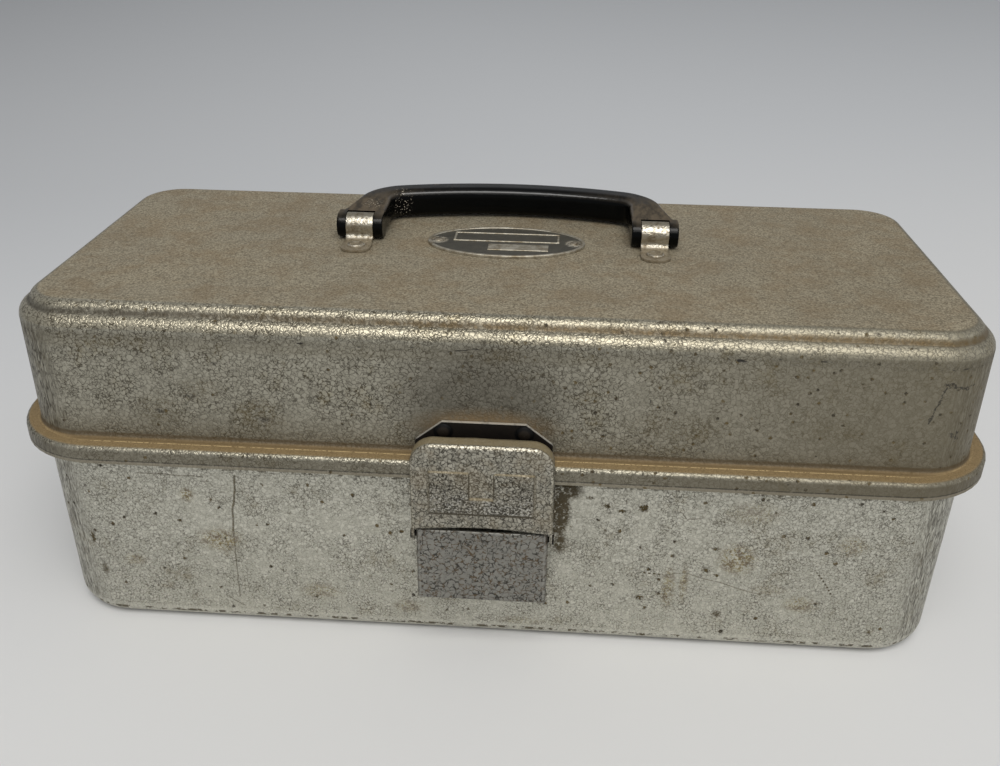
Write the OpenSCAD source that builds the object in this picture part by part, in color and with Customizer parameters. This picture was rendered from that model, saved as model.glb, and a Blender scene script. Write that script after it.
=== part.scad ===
// Portable two-tray fishing tackle box: a drawn sheet aluminium base and lid, hinged at the back,
// latched at the front, with a folding carrying handle and two trays that rise level with the lid.
// The origin is on the floor under the middle of the base. X runs along the front, Y to the back, Z up.

/* [Body] */
// Outer length of the rim, which is the widest part of the box
rim_l = 340; // [300:1:400]
// Outer depth of the rim
rim_d = 152; // [145:1:180]
// Outer corner radius of the rim, seen from above
rim_r = 33; // [28:1:38]
// Height of the ledge on which the lid's wall stands
split_h = 79; // [74:1:100]
// Rise of the lid from the ledge to its top panel
lid_rise = 48.3; // [46:0.1:70]
// Thickness of the drawn sheet
sheet_t = 1.0; // [0.8:0.05:1.2]
// Width of the ledge between the lid's wall and the rim
ledge_w = 7.1; // [6.2:0.1:9]
// Height of the turned down skirt of the lid, ledge included
skirt_h = 6.5; // [5.5:0.1:8]
// Distance of the base's wall from the rim, just below the rim
base_inset = 6.3; // [5.8:0.1:8]
// How much each wall of the base leans in towards the bottom
base_draft = 1.0; // [0.5:0.1:2]
// Rounding of the edge between bottom and wall
bottom_r = 6.7; // [4:0.1:9]
// Corner radius of the lid's wall, seen from above
lid_r = 21; // [18:0.5:24]
// Rounding of the shoulder round the top of the lid
shoulder_r = 4; // [3:0.1:5]
// Drop from the raised top panel to the shoulder
panel_drop = 4.2; // [3.4:0.1:5]
// Rounding of the raised panel's edge
panel_edge_r = 3.3; // [2:0.1:3.4]
// Rounding of the groove between panel and shoulder
groove_r = 1.2; // [0.8:0.1:1.6]
// Rounding at the foot of the lid's wall
foot_r = 1.2; // [0.8:0.1:2]
// Bend radius of the rims
rim_bend = 1; // [0.8:0.1:1.2]
// Length of the lip turned down at the rim of the base
lip_h = 2; // [1:0.1:2.6]
// Running gap between the closed lid and the base's rim
rim_gap = 0.3; // [0.2:0.05:0.5]
// Gap between the lid's skirt and the base's rim
skirt_gap = 0.6; // [0.4:0.05:0.8]

/* [Rear hinges] */
// Distance of each hinge's middle from the end of the rim
hinge_in = 75; // [60:1:95]
// Width of each hinge
hinge_w = 50; // [40:1:60]
// Outer radius of the knuckles
knuckle_r = 2.2; // [2:0.1:2.4]
// Radius of the hinge pins
hinge_pin_r = 1.2; // [1:0.05:1.3]
// Distance of the hinge axis behind the rim
hinge_back = 2.6; // [2.5:0.1:3.2]
// Thickness of the hinge leaves
leaf_t = 1.0; // [0.8:0.1:1.1]
// Height of each leaf on its wall
leaf_h = 20; // [16:1:24]

/* [Handle] */
// Distance of each barrel's middle from the middle of the box
barrel_x = 55.4; // [50:0.1:70]
// Length of each barrel
barrel_l = 17.4; // [15:0.1:22]
// Radius of each barrel
barrel_r = 4.7; // [4.4:0.1:5.5]
// Radius of the pin inside each strap
strap_pin_r = 3.6; // [2.8:0.1:3.6]
// Place of the handle's axis behind the middle of the box
handle_y = 6.5; // [4:0.5:10]
// Distance from the handle's axis to the middle of the grip
grip_reach = 33.8; // [30:0.1:45]
// Width of the grip, seen from above when the handle lies flat
grip_w = 11.5; // [9:0.1:13]
// Height of the grip when the handle lies flat
grip_h = 11; // [9.5:0.1:13]
// Rounding of the grip's edges
grip_edge_r = 4; // [2:0.1:4.2]
// Radius of the handle's two corners, on their middle line
grip_corner_r = 13; // [10:0.5:16]
// Width of each strap
strap_w = 10.1; // [9:0.1:11]
// Thickness of each strap
strap_t = 1.0; // [0.8:0.05:1.1]
// Distance that each strap's tab reaches in front of the handle's axis
tab_reach = 17.3; // [15:0.1:20]
// Width of each strap's tab
tab_w = 11; // [10:0.1:12]

/* [Nameplate] */
// Length of the blank oval plate
plate_l = 59.4; // [50:0.1:70]
// Width of the blank oval plate
plate_w = 32.8; // [28:0.1:34]
// Thickness of the blank oval plate
plate_t = 0.6; // [0.5:0.05:0.8]
// Height of the plate's rim and borders above its face
plate_relief = 0.3; // [0.2:0.05:0.5]
// Place of the plate's middle behind the middle of the box
plate_y = 5; // [2:0.5:8]

/* [Latch] */
// Place of the latch's middle along the front
latch_x = -2.2; // [-10:0.1:10]
// Outer width of the latch's cover
cover_w = 48; // [44:0.5:54]
// Depth that the cover's face stands in front of the rim
cover_reach = 3.5; // [3.5:0.1:4.5]
// Height of the cover's top above the ledge
cover_rise = 8.5; // [7:0.1:11]
// Height of the cover's face
cover_h = 33.5; // [31:0.5:36]
// Rounding of the cover's upper corners
cover_r = 8; // [5:0.5:9]
// Depth of the cover's top flange
cover_top_d = 6.3; // [5:0.1:7]
// Thickness of the latch's sheet
latch_t = 1.0; // [0.8:0.05:1.1]
// Length of the lever below the cover's face
lever_h = 30.5; // [28:0.5:33]
// Radius of the lever's two pins
lever_pin_r = 1.0; // [0.8:0.05:1.1]
// Height of the bracket's plate on the lid's wall
bracket_h = 11.2; // [10:0.1:14]
// Width of the bracket's plate along its top edge
bracket_top_w = 28; // [22:0.5:30]
// Distance between the bracket's two rivets
bracket_rivet_w = 27; // [22:0.5:30]
// Height of the raised field on the cover's face
cover_relief = 0.35; // [0.2:0.05:0.5]
// Width of the keeper on the base and of the lever's hook
keeper_w = 20; // [14:0.5:24]
// How far the lever's hook reaches under the keeper when the latch is locked
hook_grip = 0.8; // [0.5:0.1:1]

/* [Trays] */
// Thickness of the tray sheet
tray_t = 0.8; // [0.6:0.05:1]
// Corner radius of the trays, seen from above
tray_r = 20; // [16:0.5:24]
// Gap between each tray's end and its inner arm
tray_gap = 0.6; // [0.4:0.05:0.8]
// Height of the lower tray
lower_h = 24; // [20:0.5:25]
// Height of the upper tray
upper_h = 20; // [16:0.5:21]
// Gap between the lower tray and the base's rear wall
lower_back_gap = 7.1; // [6:0.1:12]
// Depth below each tray's rim at which its arms are pinned to the lower tray
lower_pin_drop = 6; // [5:0.5:8]
// Depth below the rim at which the arms are pinned to the upper tray
upper_pin_drop = 14; // [12:0.5:15]
// Gap between the stacked trays
stack_gap = 2; // [1:0.1:3]
// Number of dividers in the lower tray
lower_dividers = 4; // [2:1:6]
// Number of dividers in the upper tray
upper_dividers = 5; // [2:1:7]

/* [Tray arms] */
// Thickness of the arms
arm_t = 1.4; // [1.2:0.1:1.5]
// Radius of the arms' round ends
arm_r = 5.5; // [5:0.1:5.8]
// Radius of the pins in the arms
arm_pin_r = 2; // [1.5:0.1:2.2]
// Side gap between the inner and the outer arms
arm_gap = 0.4; // [0.3:0.05:0.5]
// Distance of the front arms' pivots in front of the base's rear corners
pivot_in = 2.4; // [2:0.1:3.5]
// Gap between the front arms' pivots and the lid's arms
pivot_gap = 1.3; // [1:0.1:2]
// Distance of the upper tray's rear pins from its rear corners
upper_pin_in = 8; // [7:0.5:9]
// Distance of the upper tray's front pins from its front corners
front_pin_in = 4; // [3.5:0.5:6]

/* [Hidden] */
$fn = 64;
eps = 0.01;
pin_clearance = 0.05;
washer_clearance = 0.2;

// Rivets: shank radius, head radius, head height and tail height of the three sizes used
small_rivet = [1.0, 1.9, 0.7, 0.6];
plain_rivet = [1.5, 2.8, 1.0, 0.8];
pivot_rivet = [2.4, 3.2, 1.2, 1.2];

// Body, worked out from the driving sizes
top_z = split_h + lid_rise;
rim_cx = rim_l / 2 - rim_r;
rim_cy = rim_d / 2 - rim_r;
lid_half_l = rim_l / 2 - ledge_w;
lid_half_d = rim_d / 2 - ledge_w;
lid_cx = lid_half_l - lid_r;
lid_cy = lid_half_d - lid_r;
skirt_z = split_h - skirt_h;
seam = 0.5;
panel_slope = asin(0.96);
panel_side = (panel_drop - (panel_edge_r + groove_r) * (1 - cos(panel_slope))) / sin(panel_slope);
panel_run = (panel_edge_r + groove_r) * sin(panel_slope) + panel_side * cos(panel_slope);
lid_runs = [
    [lid_r - shoulder_r - panel_run, panel_slope, panel_edge_r - sheet_t],
    [panel_side, -panel_slope, groove_r],
    [0, 90, shoulder_r - sheet_t],
    [lid_rise - panel_drop - shoulder_r - foot_r, -90, foot_r],
    [2 * seam, 0, 0],
];
flange_z = split_h - 2 * sheet_t - rim_gap;
wall_u = rim_r - base_inset;
lean = 90 - atan(base_draft / (flange_z - bottom_r));
wall_run = (flange_z - (bottom_r + rim_bend) * (1 - cos(lean))) / sin(lean);
lip_u = rim_r - sheet_t - skirt_gap;
base_runs = [
    [wall_u - bottom_r * sin(lean) - wall_run * cos(lean), lean, bottom_r - sheet_t],
    [wall_run, -lean, rim_bend],
    [lip_u - sheet_t - rim_bend - wall_u - rim_bend * sin(lean), -90, rim_bend],
    [lip_h, 0, 0],
];

// Distance of the base's outer wall from the corner axes, at a height on the straight wall
function base_u(z) = wall_u - (flange_z - rim_bend * (1 - cos(lean)) - z) / tan(lean);
function base_y(z) = rim_cy + base_u(z);
function base_x(z) = rim_cx + base_u(z);

// Rear hinge: places are given forward (f) and above (z) of its axis
hinge_x = rim_l / 2 - hinge_in;
hinge_y = rim_d / 2 + hinge_back;
hinge_z = skirt_z;
knuckle_gap = 0.3;
knuckle_l = (hinge_w - 2 * knuckle_gap) * 0.28;
lid_knuckle_l = hinge_w - 2 * (knuckle_l + knuckle_gap);
base_leaf_top = hinge_z - knuckle_r + leaf_t;
base_leaf_y = base_y(base_leaf_top);
leaf_rivets = [-1, 1] * hinge_w * 0.3;

// Handle
handle_z = top_z + barrel_r + 0.3;
strap_side_gap = 0.25;
strap_bore_gap = 0.1;
loop_r = strap_pin_r + strap_bore_gap;
slot_r = loop_r + strap_t + 0.5;
barrel_in = barrel_x - barrel_l / 2;
leg_x = barrel_in + grip_w / 2 + 0.3;
grip_z = handle_z - barrel_r + 0.5 + grip_h / 2;
grip_turn = [0.28, 0.96];
grip_bow = round((leg_x - grip_corner_r) / grip_turn[0] * 50) / 50;
grip_bow_r = grip_bow + grip_corner_r;
bow_y = handle_y + grip_reach - grip_bow_r;
corner_x = grip_bow * grip_turn[0];
corner_y = bow_y + grip_bow * grip_turn[1];
tab_rivet_y = handle_y - tab_reach + tab_w / 2;
tab_round = 4;

// Nameplate
plate_rim = 1.1;
plate_rivet_x = plate_l / 2 - 4;

// Latch, worked out from the front of the rim
front_y = -rim_d / 2;
cover_y = front_y - cover_reach;
face_y = cover_y + cover_relief;
cover_top = split_h + cover_rise;
cover_low = cover_top - cover_h;
cover_in = cover_w / 2 - latch_t;
lever_pin = [front_y + 0.4, cover_low - 4];
lever_side_gap = 0.4;
lever_w = cover_w - 2 * (latch_t + lever_side_gap);
lever_y = cover_y + latch_t + 0.7;
lever_lug_r = lever_pin_r + 0.6;
lever_top = cover_low - 1;
lever_low = cover_low - lever_h;
lid_front_y = -lid_half_d;
bracket_z = split_h + 1.1;
bracket_top = bracket_z + bracket_h;
bracket_taper = bracket_top - (cover_in - bracket_top_w / 2) * 0.8;
bracket_rivet_z = bracket_top - 3.6;
web_w = cover_w - 8;
web_low = cover_low + 2.5;
lock_turn = 4.5;
hook_gap = 0.3;
hook_z = lever_pin[1] - (hook_gap + hook_grip) / sin(lock_turn);
keeper_z = hook_z + 0.6;
keeper_h = 11;
keeper_y = -base_y(keeper_z + keeper_h);
hook_y = lever_pin[0] + 4.2;
keeper_lip = keeper_y - hook_y - hook_gap;

// Trays, given forward and above of the hinge axis: place of the back, depth, floor's height and own height
lower_front = hinge_y - front_y - base_inset - sheet_t - 5.3;
upper_front = hinge_y - front_y - ledge_w - sheet_t - 4.5;
lower_back = hinge_back + base_inset + sheet_t + lower_back_gap;
lower_d = lower_front - lower_back;
arm_base = hinge_back + rim_r + pivot_in;
upper_d = arm_base + 2 * tray_r + upper_pin_in + front_pin_in;
lower_box = [lower_back, lower_d, lower_pin_drop - lower_h, lower_h];
upper_box = [upper_front - upper_d, upper_d, lower_pin_drop + stack_gap, upper_h];

// Tray arms: rear pin of each tray, front arms' pivot and the lid arms' rivets, forward and above of the hinge axis
lower_pin = [arm_base + arm_r + pivot_rivet[1] + pivot_gap, 0];
upper_pin = [upper_box[0] + tray_r + upper_pin_in, stack_gap + lower_pin_drop + upper_h - upper_pin_drop];
arm_pivot = [arm_base, 0];
arm_fix = [upper_pin + [-18, 22], upper_pin + [10, 22]];
lid_in_x = lid_half_l - sheet_t;
outer_arm_x = lid_in_x - 0.5 - arm_t;
inner_arm_x = outer_arm_x - arm_gap - arm_t;
tray_x = inner_arm_x - tray_gap;
tray_bottom_r = 3;
hem_h = 3;

// ---- Shapes used by many pieces

// Part of a flat ring, between two angles at most 90 degrees apart
module ring_sector(r_in, r_out, a0, a1) {
    far = 2 * r_out;
    mid = (a0 + a1) / 2;
    intersection() {
        difference() {
            circle(r_out);
            circle(r_in);
        }
        polygon([[0, 0], far * [cos(a0), sin(a0)], far * [cos(mid), sin(mid)], far * [cos(a1), sin(a1)]]);
    }
}

// Section of a bent sheet. Each run is a straight length, then a turn to the left (positive) or to
// the right (negative) with its inner radius. The sheet lies on the left of the line that it follows.
module sheet_run(runs, t, i = 0) {
    if (i < len(runs)) {
        flat = runs[i][0];
        turn = runs[i][1];
        r = runs[i][2];
        if (flat > 0) square([flat, t]);
        translate([flat, 0]) {
            if (turn > 0) {
                translate([0, r + t]) {
                    ring_sector(r, r + t, -90, turn - 90);
                    rotate(turn) translate([0, -r - t]) sheet_run(runs, t, i + 1);
                }
            } else if (turn < 0) {
                translate([0, -r]) {
                    ring_sector(r, r + t, 90, 90 + turn);
                    rotate(turn) translate([0, r]) sheet_run(runs, t, i + 1);
                }
            } else {
                sheet_run(runs, t, i + 1);
            }
        }
    }
}

// Carries a section round four corners with their axes at cx and cy
module sweep_round(cx, cy) {
    for (k = [0:3]) {
        x = k % 2 == 0 ? cx : cy;
        y = k % 2 == 0 ? cy : cx;
        rotate([0, 0, 90 * k]) translate([x, y, 0]) {
            rotate([90, 0, 0]) linear_extrude(2 * y) children();
            rotate_extrude(angle = 90) children();
        }
    }
}

module rounded_rect(w, h, r) {
    square([w - 2 * r, h], center = true);
    square([w, h - 2 * r], center = true);
    for (x = [-1, 1], y = [-1, 1]) translate([x * (w / 2 - r), y * (h / 2 - r)]) circle(r);
}

module link_bar(a, b, r) {
    side = (b - a) / norm(b - a) * (r - 0.3);
    normal = [-side[1], side[0]];
    translate(a) circle(r);
    translate(b) circle(r);
    polygon([a - normal, b - normal, b + normal, a + normal]);
}

module oval(l, w) {
    polygon([for (a = [0:5:355]) [l / 2 * cos(a), w / 2 * sin(a)]]);
}

// Rivet standing on the face z = 0, with its tail clenched under the given grip
module rivet(kind, grip) {
    ball = (kind[1] * kind[1] + kind[2] * kind[2]) / (2 * kind[2]);
    rotate_extrude() intersection() {
        translate([0, kind[2] - ball]) circle(ball);
        square([kind[1], kind[2]]);
    }
    translate([0, 0, -grip]) cylinder(h = grip, r = kind[0]);
    translate([0, 0, -grip - kind[3]]) cylinder(h = kind[3], r = kind[0] + 0.8);
}

// Draws children, given as forward and up from the hinge axis, on a plane across the box, t thick from x
module on_end_plane(x, t) {
    translate([x + t, hinge_y, hinge_z]) rotate([90, 0, -90]) linear_extrude(t) children();
}

// Turns a child that stands along Z to lie along X, at x and at a place forward and above of the hinge axis
module along_x(x, place) {
    translate([x, hinge_y - place[0], hinge_z + place[1]]) rotate([0, 90, 0]) children();
}

module both_ends() {
    children();
    mirror([1, 0, 0]) children();
}

module both_hinges() {
    for (x = [-hinge_x, hinge_x]) translate([x, 0, 0]) children();
}

// ---- Base

module at_base_hinge_rivets() {
    z = base_leaf_top - leaf_h * 0.6;
    both_hinges() for (x = leaf_rivets) translate([x, base_leaf_y + leaf_t, z]) rotate([-90, 0, 0]) children();
}

module at_keeper_rivets() {
    for (x = [-1, 1]) translate([latch_x + x * keeper_w * 0.3, keeper_y - latch_t, keeper_z + keeper_h * 0.6])
        rotate([90, 0, 0]) children();
}

module base_shell() color("silver") {
    difference() {
        union() {
            sweep_round(rim_cx, rim_cy) sheet_run(base_runs, sheet_t);
            translate([-rim_cx, -rim_cy, 0]) cube([2 * rim_cx, 2 * rim_cy, sheet_t]);
        }
        at_base_hinge_rivets() translate([0, 0, -10]) cylinder(h = 20, r = plain_rivet[0]);
        at_keeper_rivets() translate([0, 0, -10]) cylinder(h = 20, r = small_rivet[0]);
        both_ends() along_x(base_x(hinge_z) - 5, arm_pivot) cylinder(h = 10, r = pivot_rivet[0]);
    }
}

module base_hinge_leaf() {
    wall_y = base_leaf_y;
    difference() {
        union() {
            for (x = [-hinge_w / 2, hinge_w / 2 - knuckle_l]) {
                translate([x, hinge_y, hinge_z]) rotate([0, 90, 0]) cylinder(h = knuckle_l, r = knuckle_r);
                translate([x, wall_y, base_leaf_top - leaf_t]) cube([knuckle_l, hinge_y - wall_y, leaf_t]);
            }
            translate([-hinge_w / 2, wall_y, base_leaf_top - leaf_h]) cube([hinge_w, leaf_t, leaf_h]);
        }
        translate([-hinge_w / 2 - eps, hinge_y, hinge_z]) rotate([0, 90, 0])
            cylinder(h = hinge_w + 2 * eps, r = hinge_pin_r);
        for (x = leaf_rivets) translate([x, wall_y - 1, base_leaf_top - leaf_h * 0.6]) rotate([-90, 0, 0])
            cylinder(h = 10, r = plain_rivet[0]);
    }
}

module base_hinge_leaf_left() color("lightgray") translate([-hinge_x, 0, 0]) base_hinge_leaf();

module base_hinge_leaf_right() color("lightgray") translate([hinge_x, 0, 0]) base_hinge_leaf();

module base_hinge_rivets() color("gainsboro") {
    z = base_leaf_top - leaf_h * 0.6;
    at_base_hinge_rivets() rivet(plain_rivet, leaf_t + sheet_t + (base_leaf_y - base_y(z)) + washer_clearance);
}

module hinge_pins() color("dimgray") {
    both_hinges() translate([-hinge_w / 2 - 0.5, hinge_y, hinge_z]) rotate([0, 90, 0])
        cylinder(h = hinge_w + 1, r = hinge_pin_r);
}

module latch_keeper() color("dimgray") {
    difference() {
        translate([latch_x - keeper_w / 2, keeper_y, keeper_z]) rotate([90, 0, 90]) linear_extrude(keeper_w)
            polygon([
                [0, 0], [0, keeper_h], [-latch_t, keeper_h],
                [-latch_t, latch_t], [-keeper_lip, latch_t], [-keeper_lip, 0],
            ]);
        at_keeper_rivets() translate([0, 0, -5]) cylinder(h = 10, r = small_rivet[0]);
    }
}

module latch_keeper_rivets() color("gainsboro") {
    at_keeper_rivets() rivet(small_rivet, latch_t + sheet_t + washer_clearance);
}

module arm_pivot_rivets() color("gainsboro") {
    outer_x = base_x(hinge_z + pivot_rivet[1]);
    both_ends() along_x(outer_x, arm_pivot) rivet(pivot_rivet, outer_x - outer_arm_x);
}

module arm_pivot_washers() color("gainsboro") {
    inner_x = base_x(hinge_z - arm_r) - sheet_t - 0.1;
    from_x = outer_arm_x + arm_t + 0.05;
    both_ends() along_x(from_x, arm_pivot) difference() {
        cylinder(h = inner_x - from_x, r = arm_r - 1.5);
        translate([0, 0, -eps]) cylinder(h = inner_x, r = pivot_rivet[0]);
    }
}

// ---- Lid

module at_lid_hinge_rivets() {
    both_hinges() for (x = leaf_rivets)
        translate([x, lid_half_d + leaf_t, split_h + leaf_h * 0.6]) rotate([-90, 0, 0]) children();
}

module at_strap_rivets() {
    for (x = [-barrel_x, barrel_x]) translate([x, tab_rivet_y, top_z + strap_t]) children();
}

module at_plate_rivets() {
    for (x = [-1, 1]) translate([x * plate_rivet_x, plate_y, top_z + plate_t]) children();
}

module at_bracket_rivets() {
    for (x = [-0.5, 0.5]) translate([latch_x + x * bracket_rivet_w, lid_front_y - latch_t, bracket_rivet_z])
        rotate([90, 0, 0]) children();
}

module at_arm_rivets() {
    both_ends() for (place = arm_fix) along_x(lid_half_l, place) children();
}

module lid_shell() color("silver") {
    skirt_edge = sheet_t + rim_bend + seam;
    foot_edge = foot_r + seam;
    difference() {
        union() {
            translate([0, 0, top_z]) rotate([180, 0, 0]) {
                sweep_round(lid_cx, lid_cy) sheet_run(lid_runs, sheet_t);
                translate([-lid_cx, -lid_cy, 0]) cube([2 * lid_cx, 2 * lid_cy, sheet_t]);
            }
            translate([0, 0, split_h - sheet_t]) linear_extrude(sheet_t) difference() {
                rounded_rect(rim_l - 2 * skirt_edge, rim_d - 2 * skirt_edge, rim_r - skirt_edge);
                rounded_rect(2 * (lid_half_l + foot_edge), 2 * (lid_half_d + foot_edge), lid_r + foot_edge);
            }
            translate([0, 0, split_h]) rotate([180, 0, 0]) sweep_round(rim_cx, rim_cy)
                translate([rim_r - skirt_edge - seam, 0])
                    sheet_run([[2 * seam, 90, rim_bend], [skirt_h - sheet_t - rim_bend, 0, 0]], sheet_t);
        }
        at_lid_hinge_rivets() translate([0, 0, -5]) cylinder(h = 10, r = plain_rivet[0]);
        at_strap_rivets() translate([0, 0, -5]) cylinder(h = 10, r = plain_rivet[0]);
        at_plate_rivets() translate([0, 0, -5]) cylinder(h = 10, r = small_rivet[0]);
        at_bracket_rivets() translate([0, 0, -5]) cylinder(h = 10, r = plain_rivet[0]);
        at_arm_rivets() translate([0, 0, -5]) cylinder(h = 10, r = plain_rivet[0]);
    }
}

module lid_hinge_leaf() {
    bend = foot_r + 0.2;
    over = hinge_y - knuckle_r - lid_half_d;
    runs = [
        [leaf_h - bend, 90, bend - leaf_t],
        [over - bend - rim_bend, -90, rim_bend],
        [skirt_h - rim_bend, 0, 0],
    ];
    difference() {
        union() {
            translate([-lid_knuckle_l / 2, hinge_y, hinge_z]) rotate([0, 90, 0])
                cylinder(h = lid_knuckle_l, r = knuckle_r);
            translate([-lid_knuckle_l / 2, lid_half_d, split_h + leaf_h]) rotate([90, 0, 90])
                linear_extrude(lid_knuckle_l) rotate(-90) sheet_run(runs, leaf_t);
            translate([-hinge_w / 2, lid_half_d, split_h + bend + 1]) cube([hinge_w, leaf_t, leaf_h - bend - 1]);
        }
        translate([-hinge_w / 2, hinge_y, hinge_z]) rotate([0, 90, 0])
            cylinder(h = hinge_w, r = hinge_pin_r + pin_clearance);
        for (x = leaf_rivets) translate([x, lid_half_d - 1, split_h + leaf_h * 0.6]) rotate([-90, 0, 0])
            cylinder(h = 10, r = plain_rivet[0]);
    }
}

module lid_hinge_leaf_left() color("lightgray") translate([-hinge_x, 0, 0]) lid_hinge_leaf();

module lid_hinge_leaf_right() color("lightgray") translate([hinge_x, 0, 0]) lid_hinge_leaf();

module lid_hinge_rivets() color("gainsboro") at_lid_hinge_rivets() rivet(plain_rivet, leaf_t + sheet_t);

// Strap looped round the handle's pin, its two ends lying on each other as a tab with one rivet
module handle_strap() {
    difference() {
        union() {
            translate([-strap_w / 2, handle_y, handle_z]) rotate([0, 90, 0])
                cylinder(h = strap_w, r = loop_r + strap_t);
            translate([-strap_w / 2, handle_y - loop_r - strap_t, top_z]) cube([strap_w, strap_t, handle_z - top_z]);
            translate([-strap_w / 2, handle_y - loop_r - strap_t, top_z])
                cube([strap_w, loop_r + strap_t, strap_t]);
            translate([0, handle_y - tab_reach + (tab_reach - loop_r) / 2, top_z]) linear_extrude(strap_t)
                rounded_rect(tab_w, tab_reach - loop_r, tab_round);
        }
        translate([-strap_w, handle_y, handle_z]) rotate([0, 90, 0]) cylinder(h = 2 * strap_w, r = loop_r);
        translate([0, tab_rivet_y, top_z - 1]) cylinder(h = 5, r = plain_rivet[0]);
    }
}

module handle_strap_left() color("silver") translate([-barrel_x, 0, 0]) handle_strap();

module handle_strap_right() color("silver") translate([barrel_x, 0, 0]) handle_strap();

module handle_strap_rivets() color("gainsboro") at_strap_rivets() rivet(plain_rivet, strap_t + sheet_t);

module nameplate() color("dimgray") {
    difference() {
        translate([0, plate_y, top_z]) union() {
            linear_extrude(plate_t) oval(plate_l, plate_w);
            linear_extrude(plate_t + plate_relief) {
                difference() {
                    oval(plate_l, plate_w);
                    oval(plate_l - 2 * plate_rim, plate_w - 2 * plate_rim);
                }
                difference() {
                    translate([0, plate_w * 0.13]) square([plate_l * 0.68, plate_w * 0.3], center = true);
                    translate([0, plate_w * 0.13]) square([plate_l * 0.65, plate_w * 0.25], center = true);
                }
                translate([plate_l * 0.08, -plate_w * 0.2]) square([plate_l * 0.38, plate_w * 0.19], center = true);
            }
        }
        at_plate_rivets() translate([0, 0, -5]) cylinder(h = 10, r = small_rivet[0]);
    }
}

module nameplate_rivets() color("gainsboro") at_plate_rivets() rivet(small_rivet, plate_t + sheet_t);

// ---- Latch on the lid

module latch_bracket() color("#222222") {
    half = web_w / 2;
    difference() {
        translate([latch_x, 0, 0]) union() {
            translate([0, lid_front_y, 0]) rotate([90, 0, 0]) linear_extrude(latch_t) polygon([
                [-cover_in, bracket_z], [cover_in, bracket_z], [cover_in, bracket_taper],
                [bracket_top_w / 2, bracket_top], [-bracket_top_w / 2, bracket_top], [-cover_in, bracket_taper],
            ]);
            translate([-half, face_y + latch_t, bracket_z])
                cube([web_w, lid_front_y - latch_t - face_y, latch_t]);
            translate([-half, face_y + latch_t, web_low]) cube([web_w, latch_t, bracket_z + latch_t - web_low]);
        }
        at_bracket_rivets() translate([0, 0, -5]) cylinder(h = 10, r = plain_rivet[0]);
    }
}

module latch_bracket_rivets() color("#222222") at_bracket_rivets() rivet(plain_rivet, latch_t + sheet_t);

// Face of the latch, seen from the front, with its rounded upper corners
module cover_outline(inset) {
    w = cover_w - 2 * inset;
    r = cover_r - inset;
    top = cover_h - inset;
    translate([-w / 2, 0]) square([w, top - r]);
    translate([-w / 2 + r, 0]) square([w - 2 * r, top]);
    for (x = [-1, 1]) translate([x * (w / 2 - r), top - r]) circle(r);
}

// Drawn hood: a face with a raised field, a top, and sides that reach down as two ears
module latch_cover() color("silver") {
    ear_low = lever_pin[1] - lever_lug_r - 0.5;
    ear_back = lever_pin[0] + lever_lug_r;
    back_y = cover_y + cover_top_d;
    field = [cover_w * 0.75, cover_h * 0.5];
    notch = [cover_w * 0.16, cover_h * 0.3];
    difference() {
        union() {
            difference() {
                translate([latch_x, back_y, cover_low]) rotate([90, 0, 0])
                    linear_extrude(back_y - face_y) cover_outline(0);
                translate([latch_x, back_y + 1, cover_low]) rotate([90, 0, 0])
                    linear_extrude(back_y + 1 - latch_t - face_y) {
                        cover_outline(latch_t);
                        translate([-cover_in, -1]) square([2 * cover_in, 2]);
                    }
                translate([latch_x - cover_w, front_y, cover_low - 1])
                    cube([2 * cover_w, cover_top_d, split_h - cover_low + 1 + latch_t]);
            }
            translate([latch_x, face_y + seam / 2, cover_low + cover_h * 0.46]) rotate([90, 0, 0])
                linear_extrude(cover_relief + seam / 2) difference() {
                    rounded_rect(field[0], field[1], 1.5);
                    translate([-notch[0] / 2, field[1] / 2 - notch[1]]) square([notch[0], cover_h]);
                }
            for (x = [-cover_w / 2, cover_in]) translate([latch_x + x, 0, 0]) {
                translate([0, face_y, ear_low]) cube([latch_t, front_y - face_y, cover_low - ear_low + 3]);
                translate([0, face_y, ear_low]) cube([latch_t, ear_back - face_y, cover_low - ear_low]);
            }
        }
        translate([latch_x - cover_w, lever_pin[0], lever_pin[1]]) rotate([0, 90, 0])
            cylinder(h = 2 * cover_w, r = lever_pin_r);
    }
}

module latch_lever_pins() color("gainsboro") {
    for (side = [-1, 1]) translate([latch_x, lever_pin[0], lever_pin[1]]) rotate([0, side * 90, 0]) {
        translate([0, 0, lever_w / 2 - latch_t]) cylinder(h = latch_t * 2 + lever_side_gap, r = lever_pin_r);
        translate([0, 0, cover_w / 2]) cylinder(h = 0.6, r = lever_pin_r + 0.7);
    }
}

// Lever hanging on two pins: a plate with folded sides and a lip, and behind it the hook for the keeper
module latch_lever() color("slategray") {
    half = lever_w / 2;
    plate_h = lever_top - lever_low;
    hook_y0 = lever_y + latch_t;
    difference() {
        translate([latch_x, 0, 0]) union() {
            translate([-half, lever_y, lever_low]) cube([lever_w, latch_t, plate_h]);
            for (x = [-half, half - latch_t]) {
                translate([x, lever_y, lever_low + 3]) cube([latch_t, lever_pin[0] - lever_y, plate_h - 3]);
                translate([x, lever_pin[0], lever_pin[1]]) rotate([0, 90, 0]) cylinder(h = latch_t, r = lever_lug_r);
            }
            translate([-half, lever_y - 1, lever_low]) cube([lever_w, 1.2, latch_t]);
            translate([-keeper_w / 2, hook_y0 - eps, hook_z - latch_t])
                cube([keeper_w, hook_y - hook_y0 + eps, latch_t]);
            translate([-keeper_w / 2, hook_y0 - eps, hook_z - 6]) cube([keeper_w, latch_t, 6]);
        }
        translate([latch_x - cover_w, lever_pin[0], lever_pin[1]]) rotate([0, 90, 0])
            cylinder(h = 2 * cover_w, r = lever_pin_r + pin_clearance);
    }
}

// ---- Handle

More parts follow.
